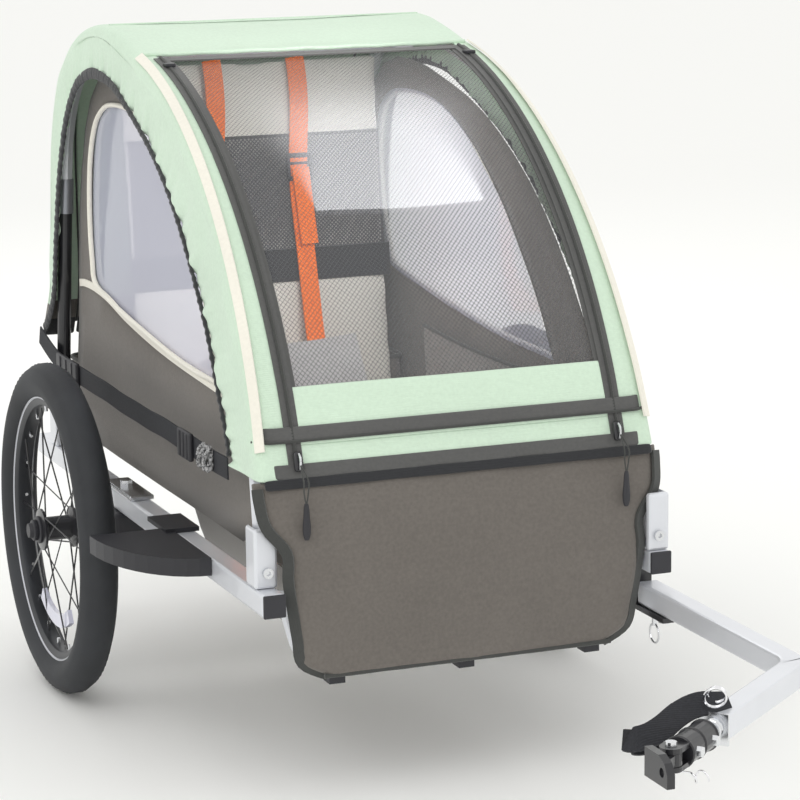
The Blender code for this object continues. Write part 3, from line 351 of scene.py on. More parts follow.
def add_piece(name, bm, material, body="frame"):
    """A closed piece, smooth but for its sharp edges. It rides on the body, if one is given."""
    bmesh.ops.recalc_face_normals(bm, faces=bm.faces)
    obj = new_object(name, bm, material)
    obj.data.shade_smooth()
    obj.data.set_sharp_from_angle(angle=radians(45))
    if body:
        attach(obj, body)
    return obj


def thicken(obj, thickness):
    """Gives a cloth its thickness, inwards."""
    solid = obj.modifiers.new("Solidify", "SOLIDIFY")
    solid.thickness = thickness
    solid.offset = -1


def subdivide(obj, levels=1):
    fine = obj.modifiers.new("Subdivision", "SUBSURF")
    fine.levels = fine.render_levels = levels


def skin(bm, rings, closed=False):
    """Faces from each ring of vertices to the next, with the ends filled, or joined if closed."""
    for first, second in list(zip(rings, rings[1:])) + ([(rings[-1], rings[0])] if closed else []):
        for j in range(len(first)):
            k = (j + 1) % len(first)
            bm.faces.new((first[j], first[k], second[k], second[j]))
    if not closed:
        bm.faces.new(rings[0])
        bm.faces.new(rings[-1])


def spread(half, count):
    """Evenly spaced values from -half to half."""
    return [half * (2 * k / count - 1) for k in range(count + 1)]


def rough(x, y, z):
    """A smooth random value between -1 and 1."""
    return noise.noise(Vector((x, y, z)))


def catmull(points, count):
    """Evenly parametrised points on a smooth curve through the given ones, each a tuple of numbers."""
    out = []
    last = len(points) - 1
    for k in range(count):
        t = k / (count - 1) * last
        i = min(int(t), last - 1)
        f = t - i
        p0, p1, p2, p3 = (Vector(points[max(0, min(last, i + d))]) for d in (-1, 0, 1, 2))
        square, cube = 2 * p0 - 5 * p1 + 4 * p2 - p3, 3 * p1 - p0 - 3 * p2 + p3
        out.append(0.5 * (2 * p1 + (p2 - p0) * f + square * f**2 + cube * f**3))
    return out


def shell(
    name, rows, material, thickness=0.0015, body="frame", keep_cell=None, levels=1, uv=None, face_slot=None
):
    """A cloth skin through a grid of points: thickened, smoothed, its modifiers applied."""
    bm = bmesh.new()
    grid = [[bm.verts.new(p) for p in row] for row in rows]
    layer = bm.loops.layers.uv.new("metres")
    for r in range(len(rows) - 1):
        for c in range(len(rows[r]) - 1):
            if keep_cell and not keep_cell(r, c):
                continue
            face = bm.faces.new((grid[r][c], grid[r][c + 1], grid[r + 1][c + 1], grid[r + 1][c]))
            if face_slot:
                face.material_index = face_slot(r, c)
            if uv:
                for loop, (rr, cc) in zip(face.loops, ((r, c), (r, c + 1), (r + 1, c + 1), (r + 1, c))):
                    loop[layer].uv = uv(rr, cc)
    loose = [v for v in bm.verts if not v.link_faces]
    bmesh.ops.delete(bm, geom=loose, context="VERTS")
    obj = new_object(name, bm, material)
    if thickness:
        thicken(obj, thickness)
    if levels:
        subdivide(obj, levels)
    apply_modifiers(obj)
    obj.data.shade_smooth()
    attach(obj, body)
    return obj


def apply_modifiers(obj):
    bpy.context.view_layer.update()
    made = bpy.data.meshes.new_from_object(obj.evaluated_get(bpy.context.evaluated_depsgraph_get()))
    old = obj.data
    obj.modifiers.clear()
    obj.data = made
    bpy.data.meshes.remove(old)


def frames_along(points, closed=False):
    """A direction and two crosswise directions at each point of a path, without twist."""
    count = len(points)
    tangents = []
    for k in range(count):
        before = points[k - 1] if k or closed else points[0]
        after = points[(k + 1) % count] if k < count - 1 or closed else points[-1]
        tangents.append((after - before).normalized())
    side = tangents[0].orthogonal().normalized()
    out = []
    for tangent in tangents:
        side = (side - tangent * side.dot(tangent)).normalized()
        out.append((tangent, side, tangent.cross(side)))
    return out


def pipe(name, points, radius, material, body="frame", sides=8, closed=False, wobble=None):
    """A round cord or tube along a path of points. Wobble gives each point's share of the radius."""
    bm = bmesh.new()
    rings = []
    for k, (point, (_, a, b)) in enumerate(zip(points, frames_along(points, closed))):
        size = radius * (wobble(k) if wobble else 1)
        rings.append([
            bm.verts.new(point + size * (cos(2 * pi * j / sides) * a + sin(2 * pi * j / sides) * b))
            for j in range(sides)
        ])
    skin(bm, rings, closed)
    return add_piece(name, bm, material, body)


def ribbon(name, points, normals, half, thick, material, body="frame"):
    """A flat strap along a path. Normals are the directions that its face looks in."""
    bm = bmesh.new()
    rings = []
    for k, point in enumerate(points):
        before, after = points[max(k - 1, 0)], points[min(k + 1, len(points) - 1)]
        tangent = (after - before).normalized()
        face = normals[k] if isinstance(normals, list) else normals
        face = (face - tangent * face.dot(tangent)).normalized()
        across = tangent.cross(face)
        corners = ((-half, -thick), (-half * 0.96, thick), (half * 0.96, thick), (half, -thick))
        rings.append([bm.verts.new(point + across * u + face * v) for u, v in corners])
    skin(bm, rings)
    return add_piece(name, bm, material, body)


def block(name, low, high, material, body="frame", bevel=0.002, turn=None):
    """A moulded block with rounded edges. Turn rotates it about its middle."""
    bm = bmesh.new()
    bmesh.ops.create_cube(bm, size=1)
    low, high = Vector(low), Vector(high)
    size = Vector(tuple(abs(c) for c in high - low))
    bmesh.ops.scale(bm, vec=size, verts=bm.verts)
    offset = min(bevel, min(size) * 0.45)
    bmesh.ops.bevel(bm, geom=bm.edges[:], offset=offset, segments=3, profile=0.5, affect="EDGES")
    place = Matrix.Translation((low + high) / 2)
    bmesh.ops.transform(bm, matrix=place @ turn.to_4x4() if turn else place, verts=bm.verts)
    return add_piece(name, bm, material, body)


def lathe(name, profile, centre, material, body, steps, slots=None):
    """A turned piece about an X-parallel axis. Profile points are (radius, x) and make a closed loop."""
    bm = bmesh.new()
    rings = []
    for k in range(steps):
        angle = 2 * pi * k / steps
        rings.append([
            bm.verts.new(centre + Vector((x, radius * sin(angle), radius * cos(angle))))
            for radius, x in profile
        ])
    skin(bm, rings, closed=True)
    for j, face in enumerate(bm.faces):
        face.material_index = slots[j % len(profile)] if slots else 0
    return add_piece(name, bm, material, body)


def ring(name, centre, across, radius, wire, material, body):
    """A closed wire ring about the direction across."""
    across = Vector(across).normalized()
    a = across.orthogonal().normalized()
    b = across.cross(a)
    turns = [2 * pi * k / 28 for k in range(28)]
    points = [centre + radius * (cos(t) * a + sin(t) * b) for t in turns]
    return pipe(name, points, wire, material, body, closed=True)


def half_width(z):
    """The canopy's half width at a height: its sides follow the leaning hoops."""
    return FOLD_X - (z - FOLD_Z) * tan(LEAN) + 0.0125


def arc_at(angle, radius=ARC_RADIUS):
    """(y, z) on the curved front at an angle above level, in degrees."""
    a = radians(angle)
    return ARC_Y - radius * cos(a), ARC_Z + radius * sin(a)


def cad_paint(material, *names):
    """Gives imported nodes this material."""
    for name in names:
        for slot in NODES[name].material_slots:
            slot.material = material
        if not NODES[name].material_slots:
            NODES[name].data.materials.append(material)


def both(pattern):
    """The right and the left name."""
    return [pattern.format(side) for side in SIDES]


def paint_frame():
    """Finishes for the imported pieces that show, rounded edges, and the grey sleeves of the uprights."""
    silver = both("rail_{}") + both("front_bracket_{}") + both("rear_bracket_{}") + both("hoop_{}_tube")
    cad_paint(SILVER, *silver, "front_cross_tube", "rear_cross_tube", "crossbar", "tow_arm")
    cad_paint(BLACK_PAINT, *both("rear_upright_{}"), "coupler", "hitch_plate", "arm_bracket", *both("hub_{}"))
    cad_paint(PLASTIC, *both("rail_cap_{}"), *both("axle_block_{}"), *both("wheel_guard_{}"), "floor_skid")
    cad_paint(PLASTIC, *both("axle_button_{}"))
    cad_paint(ZINC, *both("pivot_bolt_{}"), *both("axle_{}"), *both("axle_saddle_{}"))
    cad_paint(ZINC, "arm_pivot_bolt", "coupler_spring", "hitch_pin", "arm_lock_pin")
    for name in both("rail_{}") + both("axle_block_{}") + both("wheel_guard_{}") + ["tow_arm", "hitch_plate"]:
        edge = NODES[name].modifiers.new("EdgeRounding", "BEVEL")
        edge.width = 0.0012
        edge.segments = 2
        edge.limit_method = "ANGLE"
        edge.angle_limit = radians(40)
    for side, sign in SIDES.items():
        low, high = 0.54, 0.584
        y = 0.281 + (0.0215 if side == "left" else 0)
        points = []
        for k in range(9):
            z = low + (high - low) * k / 8
            points.append(at(sign * (FOLD_X - (z - FOLD_Z) * tan(LEAN)), y, z))
        dress(pipe(f"hoop_sleeve_{side}", points, 0.0101, SLEEVE, f"hoop_{side}", sides=24))


# ---------------------------------------------------------------- canopy
STATIONS = [
    ((-0.5124, 0.355), (-0.425, 0.356)), ((-0.4995, 0.39), (-0.412, 0.385)), (
        (-0.4746, 0.4474), (-0.38, 0.43)
    ),
    ((-0.4315, 0.5191), (-0.34, 0.487)), ((-0.3788, 0.5842), (-0.298, 0.532)), (
        (-0.3176, 0.6413), (-0.245, 0.582)
    ),
    ((-0.249, 0.6893), (-0.19, 0.6245)), ((-0.1744, 0.7273), (-0.128, 0.661)), (
        (-0.1054, 0.7518), (-0.07, 0.6865)
    ),
    ((-0.045, 0.7657), (-0.017, 0.707)), ((0.02, 0.7805), (0.036, 0.7245)), ((0.08, 0.79), (0.085, 0.731)),
    ((0.13, 0.7895), (0.13, 0.7305)), ((0.18, 0.7805), (0.18, 0.716)), ((0.222, 0.765), (0.212, 0.692)),
    ((0.2555, 0.7435), (0.236, 0.661)), ((0.291, 0.709), (0.251, 0.628)), ((0.3165, 0.632), (0.266, 0.577)),
    ((0.3175, 0.54), (0.275, 0.51)), ((0.3195, 0.44), (0.285, 0.43)), ((0.348, 0.372), (0.33, 0.38)),
]
HINGE_ROW, FLAP_ROW, FINE = 9, 15, 9
OUTER = [Vector((p.x, p.y)) for p in catmull([(*o, 0) for o, _ in STATIONS], (len(STATIONS) - 1) * FINE + 1)]
EDGE = [Vector((p.x, p.y)) for p in catmull([(*e, 0) for _, e in STATIONS], (len(STATIONS) - 1) * FINE + 1)]
SHARES = (1.0, 0.95, 0.9, 0.84, 0.77, 0.7, 0.62, 0.54, 0.46, 0.38, 0.3, 0.22)
MIDDLE_COLUMNS = 10


def ripple(y, z, size, scale, seed=0.0):
    """A soft unevenness of this size."""
    return size * noise.noise(Vector((y * scale, z * scale, seed)))


def canopy_row(k):
    """One row of canopy points, from the right side's lower edge over the top to the left side's."""
    outer, edge = OUTER[k], EDGE[k]
    depth = (edge - outer).length
    side = []
    for share in SHARES:
        spot = outer.lerp(edge, share)
        pull = max(0, (share - 0.45) / 0.55)
        gather = pull * (0.0022 * sin(k * 2.1) + 0.0014 * sin(k * 1.27 + 1) + 0.0016 * sin(k * 0.61 + 2))
        side.append((half_width(spot.y) + gather + ripple(spot.x, spot.y, 0.0026, 20), spot.x, spot.y))
    for back, inward in ((0.017, 0.0), (0.010, 0.0004), (0.0045, 0.0022), (0.0012, 0.006)):
        spot = outer.lerp(edge, back / depth)
        side.append((half_width(spot.y) - inward, spot.x, spot.y))
    side.append((half_width(outer.y) - 0.012, *outer))
    side.append((ZIP_X + 0.008, *outer))
    side.append((ZIP_X, *outer))
    middle = []
    for j in range(1, MIDDLE_COLUMNS):
        x = ZIP_X * (1 - 2 * j / MIDDLE_COLUMNS)
        sag = 0.002 * (1 - (x / ZIP_X) ** 2) * (1 if HINGE_ROW * FINE <= k <= FLAP_ROW * FINE else 0)
        middle.append((x, outer.x, outer.y - sag + ripple(x, outer.x, 0.0012, 14, 3)))
    left = side
    right = [(-x, y, z) for x, y, z in side]
    return [at(*p) for p in right + [(-x, y, z) for x, y, z in middle] + left[::-1]]


def rear_slot(z):
    """The rear's material at a height: black at the foot, taupe above it, then mint."""
    return 2 if z < 0.398 else 1 if z < 0.428 else 0


def canopy():
    """The whole canopy, with openings for the front cover and the rear flap."""
    rows = [canopy_row(k) for k in range(len(OUTER))]
    side_count = len(SHARES) + 7
    low_middle, high_middle = side_count - 1, side_count - 1 + MIDDLE_COLUMNS

    def kept(r, c):
        middle = low_middle <= c < high_middle
        return not middle or r < FINE or HINGE_ROW * FINE <= r < FLAP_ROW * FINE

    def slots(r, c):
        return rear_slot(OUTER[r].y) if r > HINGE_ROW * FINE else 0

    made = shell("canopy_cloth", rows, [MINT, TAUPE, BLACK_CLOTH], 0.0016, keep_cell=kept, face_slot=slots)
    dress(made, FLAT, "canopy")


def even(points, step):
    """Points a fixed step apart along a path."""
    lengths = [0.0]
    for a, b in zip(points, points[1:]):
        lengths.append(lengths[-1] + (b - a).length)
    count = max(2, int(lengths[-1] / step))
    out, i = [], 0
    for k in range(count + 1):
        want = lengths[-1] * k / count
        while i < len(points) - 2 and lengths[i + 1] < want:
            i += 1
        share = (want - lengths[i]) / max(1e-9, lengths[i + 1] - lengths[i])
        out.append(points[i].lerp(points[i + 1], min(1, share)))
    return out


def gathered_edge(side, sign):
    """The black elastic that draws the canopy's side edge in: a soft flat roll with close gathers."""
    path = even([at(sign * (half_width(e.y) + 0.0012), e.x, e.y) for e in EDGE[4:-2]], 0.0031)
    bm = bmesh.new()
    rings = []
    for k, point in enumerate(path):
        before, after = path[max(0, k - 1)], path[min(len(path) - 1, k + 1)]
        tangent = (after - before).normalized()
        out = Vector((sign, 0, 0))
        across = tangent.cross(out).normalized()
        swell_here = 1 + 0.30 * sin(k * 1.9) + 0.14 * sin(k * 0.83 + 2)
        wide = 0.0036 + 0.0034 * min(1, max(0, (point.y - AXLE_Y + 0.05) / 0.15))
        rings.append([
            bm.verts.new(
                point + across * wide * cos(a) * (0.94 + 0.06 * swell_here) + out * 0.0023 * sin(a) * swell_here
            )
            for a in (2 * pi * j / 10 for j in range(10))
        ])
    skin(bm, rings)
    dress(add_piece(f"canopy_elastic_{side}", bm, BLACK_CLOTH), FLAT)


def outward(k, points):
    """The (y, z) direction out of the canopy at a point of its outer line."""
    before, after = points[max(0, k - 1)], points[min(len(points) - 1, k + 1)]
    run = (after - before).normalized()
    return Vector((-run.y, run.x))


def along_outer(x_of, first, last, out, step=0.006):
    """A path on the canopy's outer line from one row to another, at x_of(z), raised by out."""
    points = []
    for k in range(first, last + 1):
        lift = outward(k, OUTER) * out
        points.append(at(x_of(OUTER[k].y), OUTER[k].x + lift.x, OUTER[k].y + lift.y))
    return even(points, step)


def zip_x(sign):
    return lambda z: sign * (ZIP_X + 0.0005)


def canopy_trim():
    """Elastic, piping and zips along the canopy's edges, the visor's rolled edge, the roof seam."""
    last, hinge = len(OUTER) - 1, HINGE_ROW * FINE
    for side, sign in SIDES.items():
        gathered_edge(side, sign)
        path = along_outer(lambda z: sign * (half_width(z) - 0.0052), 8, hinge - 1, 0.0009, 0.012)
        facing = []
        for k in range(len(path)):
            out = outward(8 + round((hinge - 9) * k / (len(path) - 1)), OUTER)
            facing.append(Vector((sign * 0.75, out.x, out.y)))
        piping = ribbon(f"canopy_piping_{side}", path, facing, 0.0056, 0.0011, CREAM)
        dress(piping, FLAT)
        for place, first, end in (("front", 3, hinge - 3), ("rear", FLAP_ROW * FINE + 2, last - 3)):
            path = along_outer(zip_x(sign), first, end, 0.0012, 0.012)
            normals = []
            for k in range(len(path)):
                normals.append(Vector((0, *outward(int(first + (end - first) * k / (len(path) - 1)), OUTER))))
            tape = ribbon(f"{place}_zip_tape_{side}", path, normals, 0.0085, 0.0005, HEM_GREY)
            dress(tape, FLAT)
            path = along_outer(zip_x(sign), first, end, 0.0025, 0.0016)
            coil = pipe(
                f"{place}_zip_coil_{side}", path, 0.0023, TRIM, sides=6, wobble=lambda k: 1.0 if k % 2 else 0.72
            )
            dress(coil, FLAT)
        spot = along_outer(zip_x(sign), hinge - 8, hinge - 3, 0.0035, 0.003)[0]
        low, high = spot - Vector((0.006, 0.007, 0.0015)), spot + Vector((0.006, 0.007, 0.0025))
        dress(block(f"zip_stop_{side}", low, high, PLASTIC, bevel=0.0012), FLAT)
    outer, lift = OUTER[hinge], outward(hinge, OUTER) * 0.0012
    visor = []
    for j in range(41):
        x = 0.203 * (1 - 2 * j / 40)
        visor.append(at(x, outer.x - 0.004 + lift.x, outer.y - 0.0012 + lift.y + 0.0004 * sin(j)))
    dress(pipe("visor_edge", visor, 0.0026, MINT, sides=10), FLAT)
    outer = OUTER[11 * FINE + 3]
    seam = [at(-x, outer.x, outer.y + 0.0004) for x in spread(0.2, 40)]
    dress(ribbon("roof_seam", seam, Vector((0, 0, 1)), 0.004, 0.0007, MINT), FLAT)


def angle_of(z, radius=ARC_RADIUS):
    return degrees(asin((z - ARC_Z) / radius))


def arc_band(name, z_low, z_high, half, out, material, thick, body, columns=24, rows=8, soft=0.0, wrap=0.0):
    """A strip of cloth at out above the curved front, with a soft unevenness. Wrap turns its ends back."""
    first, last = angle_of(z_low), angle_of(z_high)
    grid = []
    for r in range(rows + 1):
        angle = first + (last - first) * r / rows
        row = []
        for x in spread(half, columns):
            lift = out + soft * rough(x * 9, angle * 0.35, 1)
            y, z = arc_at(angle, ARC_RADIUS + lift)
            turned = max(0, (abs(x) - (half - wrap)) / wrap) if wrap else 0
            row.append(at(x, y + 0.016 * turned**2, z))
        grid.append(row)
    return shell(name, grid, material, thick, body)


def front_cover():
    """The lifting cover: net behind clear vinyl, their border, the mint band, the grey strip."""
    body, rows = "front_cover", 48
    hinge_angle, first = angle_of(0.762), angle_of(0.441)
    xs = spread(ZIP_X - 0.0085, 30)
    grids = {0.0042: [], 0.0026: []}
    for r in range(rows + 1):
        angle = first + (hinge_angle - first) * r / rows
        bulge = 0.002 * sin(pi * r / rows)
        for depth, grid in grids.items():
            row = []
            for x in xs:
                lift = 0.0009 * rough(x * 7, angle * 0.1, 5) - bulge * (1 - (x / ZIP_X) ** 2)
                row.append(at(x, *arc_at(angle, ARC_RADIUS - depth + lift)))
            grid.append(row)
    length = radians(hinge_angle - first) * ARC_RADIUS

    def place(r, c):
        return xs[c], length * r / rows

    for name, material, slot, grid in (
        ("front_window_net", NET, "window_mesh", grids[0.0042]),
        # The front vinyl's near-white veil is painted reflection haze over the clear vinyl.
        ("front_window_vinyl", FRONT_VINYL_PAINTED_HAZE, "clear_vinyl", grids[0.0026]),
    ):
        window = dress(shell(name, grid, material, 0, body, levels=0, uv=place), FLAT)
    band = arc_band("front_cover_band", 0.3885, 0.447, ZIP_X - 0.001, 0.0008, MINT, 0.0018, body, soft=0.0012)
    dress(band, FLAT, "front_cover")
    strip = arc_band(
        "front_cover_strip", 0.3925, 0.4075, 0.2305, 0.0034, HEM_GREY, 0.0022, body, 40, 4, wrap=0.02
    )
    dress(strip, FLAT)
    y, z = arc_at(angle_of(0.3928), ARC_RADIUS + 0.0030)
    hem = [at(x, y + 0.016 * max(0, (abs(x) - 0.21) / 0.02) ** 2, z) for x in spread(0.2295, 59)]
    dress(pipe("front_cover_hem", hem, 0.0017, TRIM, body), FLAT)
    for side, sign in SIDES.items():
        points, normals = [], []
        for k in range(60):
            y, z = arc_at(first + (hinge_angle - 0.5 - first) * k / 59, ARC_RADIUS - 0.0012)
            points.append(at(sign * (ZIP_X - 0.0072), y, z))
            normals.append(Vector((0, y - ARC_Y, z - ARC_Z)))
        border = ribbon(f"front_window_border_{side}", points, normals, 0.0052, 0.0008, HEM_GREY, body)
        dress(border, FLAT)
    y, z = arc_at(hinge_angle - 0.6, ARC_RADIUS + 0.0004)
    line, facing = [at(x, y, z) for x in spread(0.18, 20)], Vector((0, y - ARC_Y, z - ARC_Z))
    top = ribbon("front_window_top_border", line, facing, 0.006, 0.0008, HEM_GREY, body)
    dress(top, FLAT)


def front_lower_band():
    """Below the cover: the canopy's grey hem, and the black hook strip on the front panel."""
    hem = arc_band(
        "canopy_front_hem", 0.3555, 0.3705, 0.2285, 0.0016, HEM_GREY, 0.0018, "frame", 40, 4, wrap=0.02
    )
    dress(hem, FLAT)
    grid = []
    for z, y in ((0.357, -0.5128), (0.3535, -0.5142), (0.350, -0.5157), (0.3465, -0.5172)):
        grid.append([at(x, y - 0.001 + 0.0006 * sin(x * 60), z) for x in spread(0.226, 40)])
    dress(shell("front_hook_strip", grid[::-1], BLACK_CLOTH, 0.0012), SOFT)


def rear_flap():
    """The cloth between the two rear zips."""
    rows = []
    for k in range(FLAP_ROW * FINE + 1, len(OUTER)):
        row = []
        for x in spread(ZIP_X - 0.0015, 18):
            row.append(at(x, OUTER[k].x + ripple(x, OUTER[k].y, 0.002, 9, 8), OUTER[k].y))
        rows.append(row)

    def slots(r, c):
        return rear_slot(OUTER[FLAP_ROW * FINE + 1 + r].y)

    made = shell("rear_flap_cloth", rows, [MINT, TAUPE, BLACK_CLOTH], 0.0016, "rear_flap", face_slot=slots)
    dress(made, FLAT, "rear_flap")


# ---------------------------------------------------------------- sides
BAND_LINE = [
    (-0.325, 0.4125), (-0.281, 0.415), (-0.151, 0.4205), (-0.051, 0.4275), (0.054, 0.439), (0.13, 0.451),
    (0.187, 0.456), (0.233, 0.456), (0.258, 0.453),
]
WINDOW = [
    (-0.311, 0.421), (-0.305, 0.43), (-0.27, 0.484), (-0.224, 0.541), (-0.18, 0.587), (-0.134, 0.62),
    (-0.085, 0.654), (-0.03, 0.678), (0.02, 0.69), (0.07, 0.6935), (0.119, 0.692), (0.157, 0.685),
    (0.193, 0.663), (0.213, 0.623), (0.217, 0.575), (0.211, 0.527), (0.2, 0.49), (0.187, 0.464),
    (0.13, 0.452), (0.03, 0.44), (-0.156, 0.424),
]


def panel_outline():
    """The (y, z) outline of a side panel."""
    points = [(-0.484, 0.262)]
    for k in range(15):
        a = radians(9 + 70 * k / 14)
        points.append((ARC_Y - 0.55 * cos(a), ARC_Z + 0.55 * sin(a)))
    points += [(0.03, 0.73), (0.08, 0.7345), (0.13, 0.7345), (0.18, 0.722), (0.22, 0.69), (0.247, 0.65)]
    return points + [(0.262, 0.6), (0.268, 0.54), (0.268, 0.4), (0.268, 0.262)]


def side_x(z, out=0.0):
    """The half width of the side panels at a height."""
    return FOLD_X - 0.015 - (z - FOLD_Z) * tan(LEAN) + out


def filled(name, loops, sign, out, material, bulge, thick=0.0014):
    """A flat cloth panel on the side plane, with a hole for each loop after the first, gently uneven."""
    bm = bmesh.new()
    for loop in loops:
        verts = [bm.verts.new((0, y, z)) for y, z in loop]
        for a, b in zip(verts, verts[1:] + verts[:1]):
            bm.edges.new((a, b))
    bmesh.ops.triangle_fill(bm, use_beauty=True, edges=bm.edges[:])
    for _ in range(2):
        long_edges = [e for e in bm.edges if e.calc_length() > 0.02]
        if long_edges:
            bmesh.ops.subdivide_edges(bm, edges=long_edges, cuts=1, use_grid_fill=True)
            bmesh.ops.triangulate(bm, faces=bm.faces[:])
    for v in bm.verts:
        y, z = v.co.y, v.co.z
        lift = bulge * rough(y * 7, z * 9, 4.0 + sign)
        v.co = at(sign * (side_x(z, out) + lift), y, z)
    bmesh.ops.recalc_face_normals(bm, faces=bm.faces)
    if sum(f.normal.x for f in bm.faces) * sign < 0:
        bmesh.ops.reverse_faces(bm, faces=bm.faces[:])
    obj = new_object(name, bm, material)
    if thick:
        thicken(obj, thick)
        apply_modifiers(obj)
    obj.data.shade_smooth()
    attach(obj, "frame")
    return obj


def side_panels():
    """The taupe panel of each side, its clear window with cream piping, and the cream band below it."""
    window = [(p.x, p.y) for p in catmull([(*p, 0) for p in WINDOW + WINDOW[:1]], 73)][:-1]
    grown = [(y * 1.012 + 0.001, 0.56 + (z - 0.56) * 1.025) for y, z in window]
    for side, sign in SIDES.items():
        panel = filled(f"side_cloth_{side}", [panel_outline(), window], sign, 0.0, TAUPE, 0.003)
        dress(panel, FLAT, f"side_panel_{side}")
        glass = filled(f"side_vinyl_{side}", [grown], sign, -0.0022, VINYL, 0.002, thick=0)
        dress(glass, FLAT, f"side_window_{side}")
        rim = [at(sign * side_x(z, 0.0022), y, z) for y, z in window]
        dress(pipe(f"side_window_piping_{side}", rim, 0.0031, CREAM, closed=True), FLAT)
        line = [at(sign * side_x(p.y, 0.0012), p.x, p.y) for p in catmull([(*p, 0) for p in BAND_LINE], 50)]
        band = ribbon(f"side_band_{side}", line, Vector((sign, 0, 0)), 0.0048, 0.0007, CREAM)
        dress(band, FLAT)


def side_straps():
    """The webbing along each side, its two ribbed buckles, and the knot of its elastic cord."""

    def side_block(name, out_from, out_to, spans, bevel):
        (y1, y2), (z1, z2) = spans
        x1, x2 = sorted((sign * out_from, sign * out_to))
        dress(block(name, at(x1, y1, z1), at(x2, y2, z2), PLASTIC, bevel=bevel), FIRM)

    for side, sign in SIDES.items():
        points = []
        for k in range(60):
            y = -0.425 + 0.76 * k / 59
            wave = 0.0012 * sin(y * 21) + 0.0006 * sin(y * 55)
            lift = 0.022 * max(0, (y - 0.225) / 0.11) ** 1.5
            points.append(at(sign * (0.2356 + wave * 0.5), y, 0.353 + wave + lift))
        strap = ribbon(f"side_webbing_{side}", points, Vector((sign, 0, 0)), 0.0122, 0.0009, BLACK_WEB)
        dress(strap, SOFT, f"side_strap_{side}")
        for place, low, high in (("front", -0.31, -0.265), ("rear", 0.147, 0.239)):
            name = f"side_buckle_{place}"
            side_block(f"{name}_{side}", 0.2362, 0.2421, ((low, high), (0.337, 0.369)), 0.0022)
            for n, share in enumerate((0.22, 0.5, 0.78)):
                y = low + (high - low) * share
                spans = (y - 0.0032, y + 0.0032), (0.3385, 0.3675)
                side_block(f"{name}_bar_{n}_{side}", 0.2405, 0.2434, spans, 0.0011)
        knot = []
        for k in range(49):
            t = k / 48 * pi * 6
            x = sign * (0.2395 + 0.0035 * cos(t * 1.5))
            knot.append(at(x, -0.36 + 0.016 * cos(t), 0.353 + 0.012 * sin(t * 1.31)))
        dress(pipe(f"elastic_knot_{side}", knot, 0.0024, KNOT), FIRM)


# ---------------------------------------------------------------- footwell and boot
def rounded_ring(x, front, rear, z, corner=0.02, per=5):
    """A level rectangle with round corners, from -x to x and from front to rear."""
    points = []
    low, high, half = front + corner, rear - corner, x - corner
    for cx, cy, start in ((half, high, 0), (-half, high, 90), (-half, low, 180), (half, low, 270)):
        for k in range(per + 1):
            a = radians(start + 90 * k / per)
            points.append((cx + corner * cos(a), cy + corner * sin(a), z))
    return points


def open_tray(name, levels, material, wall, sag=0.0):
    """A cloth tray or bag from rounded levels, top to bottom: outside, rolled rim, and inside."""
    bm = bmesh.new()
    rings = []
    inside = [(x, f, r, z, wall) for x, f, r, z in levels]
    x, f, r, z, _ = inside[-1]
    inside[-1] = (x, f, r, z + wall, wall)
    for x, f, r, z, inset in [(*level, 0.0) for level in levels[::-1]] + inside:
        level_ring = rounded_ring(x - inset, f + inset, r - inset, z)
        rings.append(
            [bm.verts.new(at(px + sag * rough(px * 12, py * 12, z * 12), py, z)) for px, py, _ in level_ring]
        )
    skin(bm, rings)
    return add_piece(name, bm, material)


PANEL_PROFILE = [
    (-0.5133, 0.3535, 0.2365), (-0.5185, 0.335, 0.2362), (-0.526, 0.3078, 0.2312), (-0.5306, 0.28, 0.2108),
    (-0.5335, 0.25, 0.2105), (-0.534, 0.22, 0.2065), (-0.533, 0.185, 0.201), (-0.5305, 0.158, 0.195),
    (-0.53, 0.142, 0.166),
]


def front_panel():
    """The taupe panel below the cover, bound on both sides, and the footwell behind it."""
    fine = catmull(PANEL_PROFILE, 41)
    rows = []
    for p in fine[::-1]:
        row = []
        for k in range(37):
            u = 2 * k / 36 - 1
            x = p.z * u
            crease = 0.0035 / (1 + exp((p.y - 0.236) / 0.004)) - 0.0015
            lift = 0.0022 * rough(x * 5, p.y * 11, 2) + crease
            back = 0.010 * max(0, (abs(u) - 0.93) / 0.07) ** 2
            row.append(at(x, p.x - lift + back, p.y))
        rows.append(row)
    panel = shell("front_panel", rows, TAUPE, 0.0018)
    dress(panel, node="footwell_tub")
    for side, sign in SIDES.items():
        points, normals = [], []
        for p in fine[2:]:
            points.append(at(sign * (p.z - 0.0045), p.x - 0.0002 + 0.005, p.y))
            normals.append(Vector((sign * 0.55, -1, 0)))
        dress(ribbon(f"front_panel_binding_{side}", points, normals, 0.0062, 0.0016, TRIM))
    low = [at(0.168 * (2 * k / 40 - 1), -0.5312 + 0.0003 * sin(k), 0.1425) for k in range(41)]
    dress(pipe("front_panel_hem", low, 0.0026, TRIM, sides=8))
    levels = [
        (0.192, -0.5285, -0.15, 0.25), (0.186, -0.5285, -0.154, 0.225), (0.178, -0.5285, -0.16, 0.2),
        (0.168, -0.528, -0.164, 0.175), (0.163, -0.528, -0.166, 0.1665),
    ]
    dress(open_tray("footwell_tray", levels, LINING, 0.003))


def boot():
    """The open bag behind the seat, with a bound rim."""
    levels = [
        (0.198, 0.145, 0.338, 0.345), (0.199, 0.144, 0.333, 0.315), (0.2, 0.1435, 0.328, 0.285),
        (0.198, 0.145, 0.322, 0.262), (0.19, 0.152, 0.316, 0.2465),
    ]
    dress(open_tray("boot_bag_cloth", levels, TAUPE, 0.003, sag=0.003), SOFT, "boot_bag")
    rim = [at(*p) for p in rounded_ring(0.198, 0.145, 0.338, 0.3455)]
    dress(pipe("boot_bag_binding", rim, 0.0028, TRIM, closed=True), SOFT)


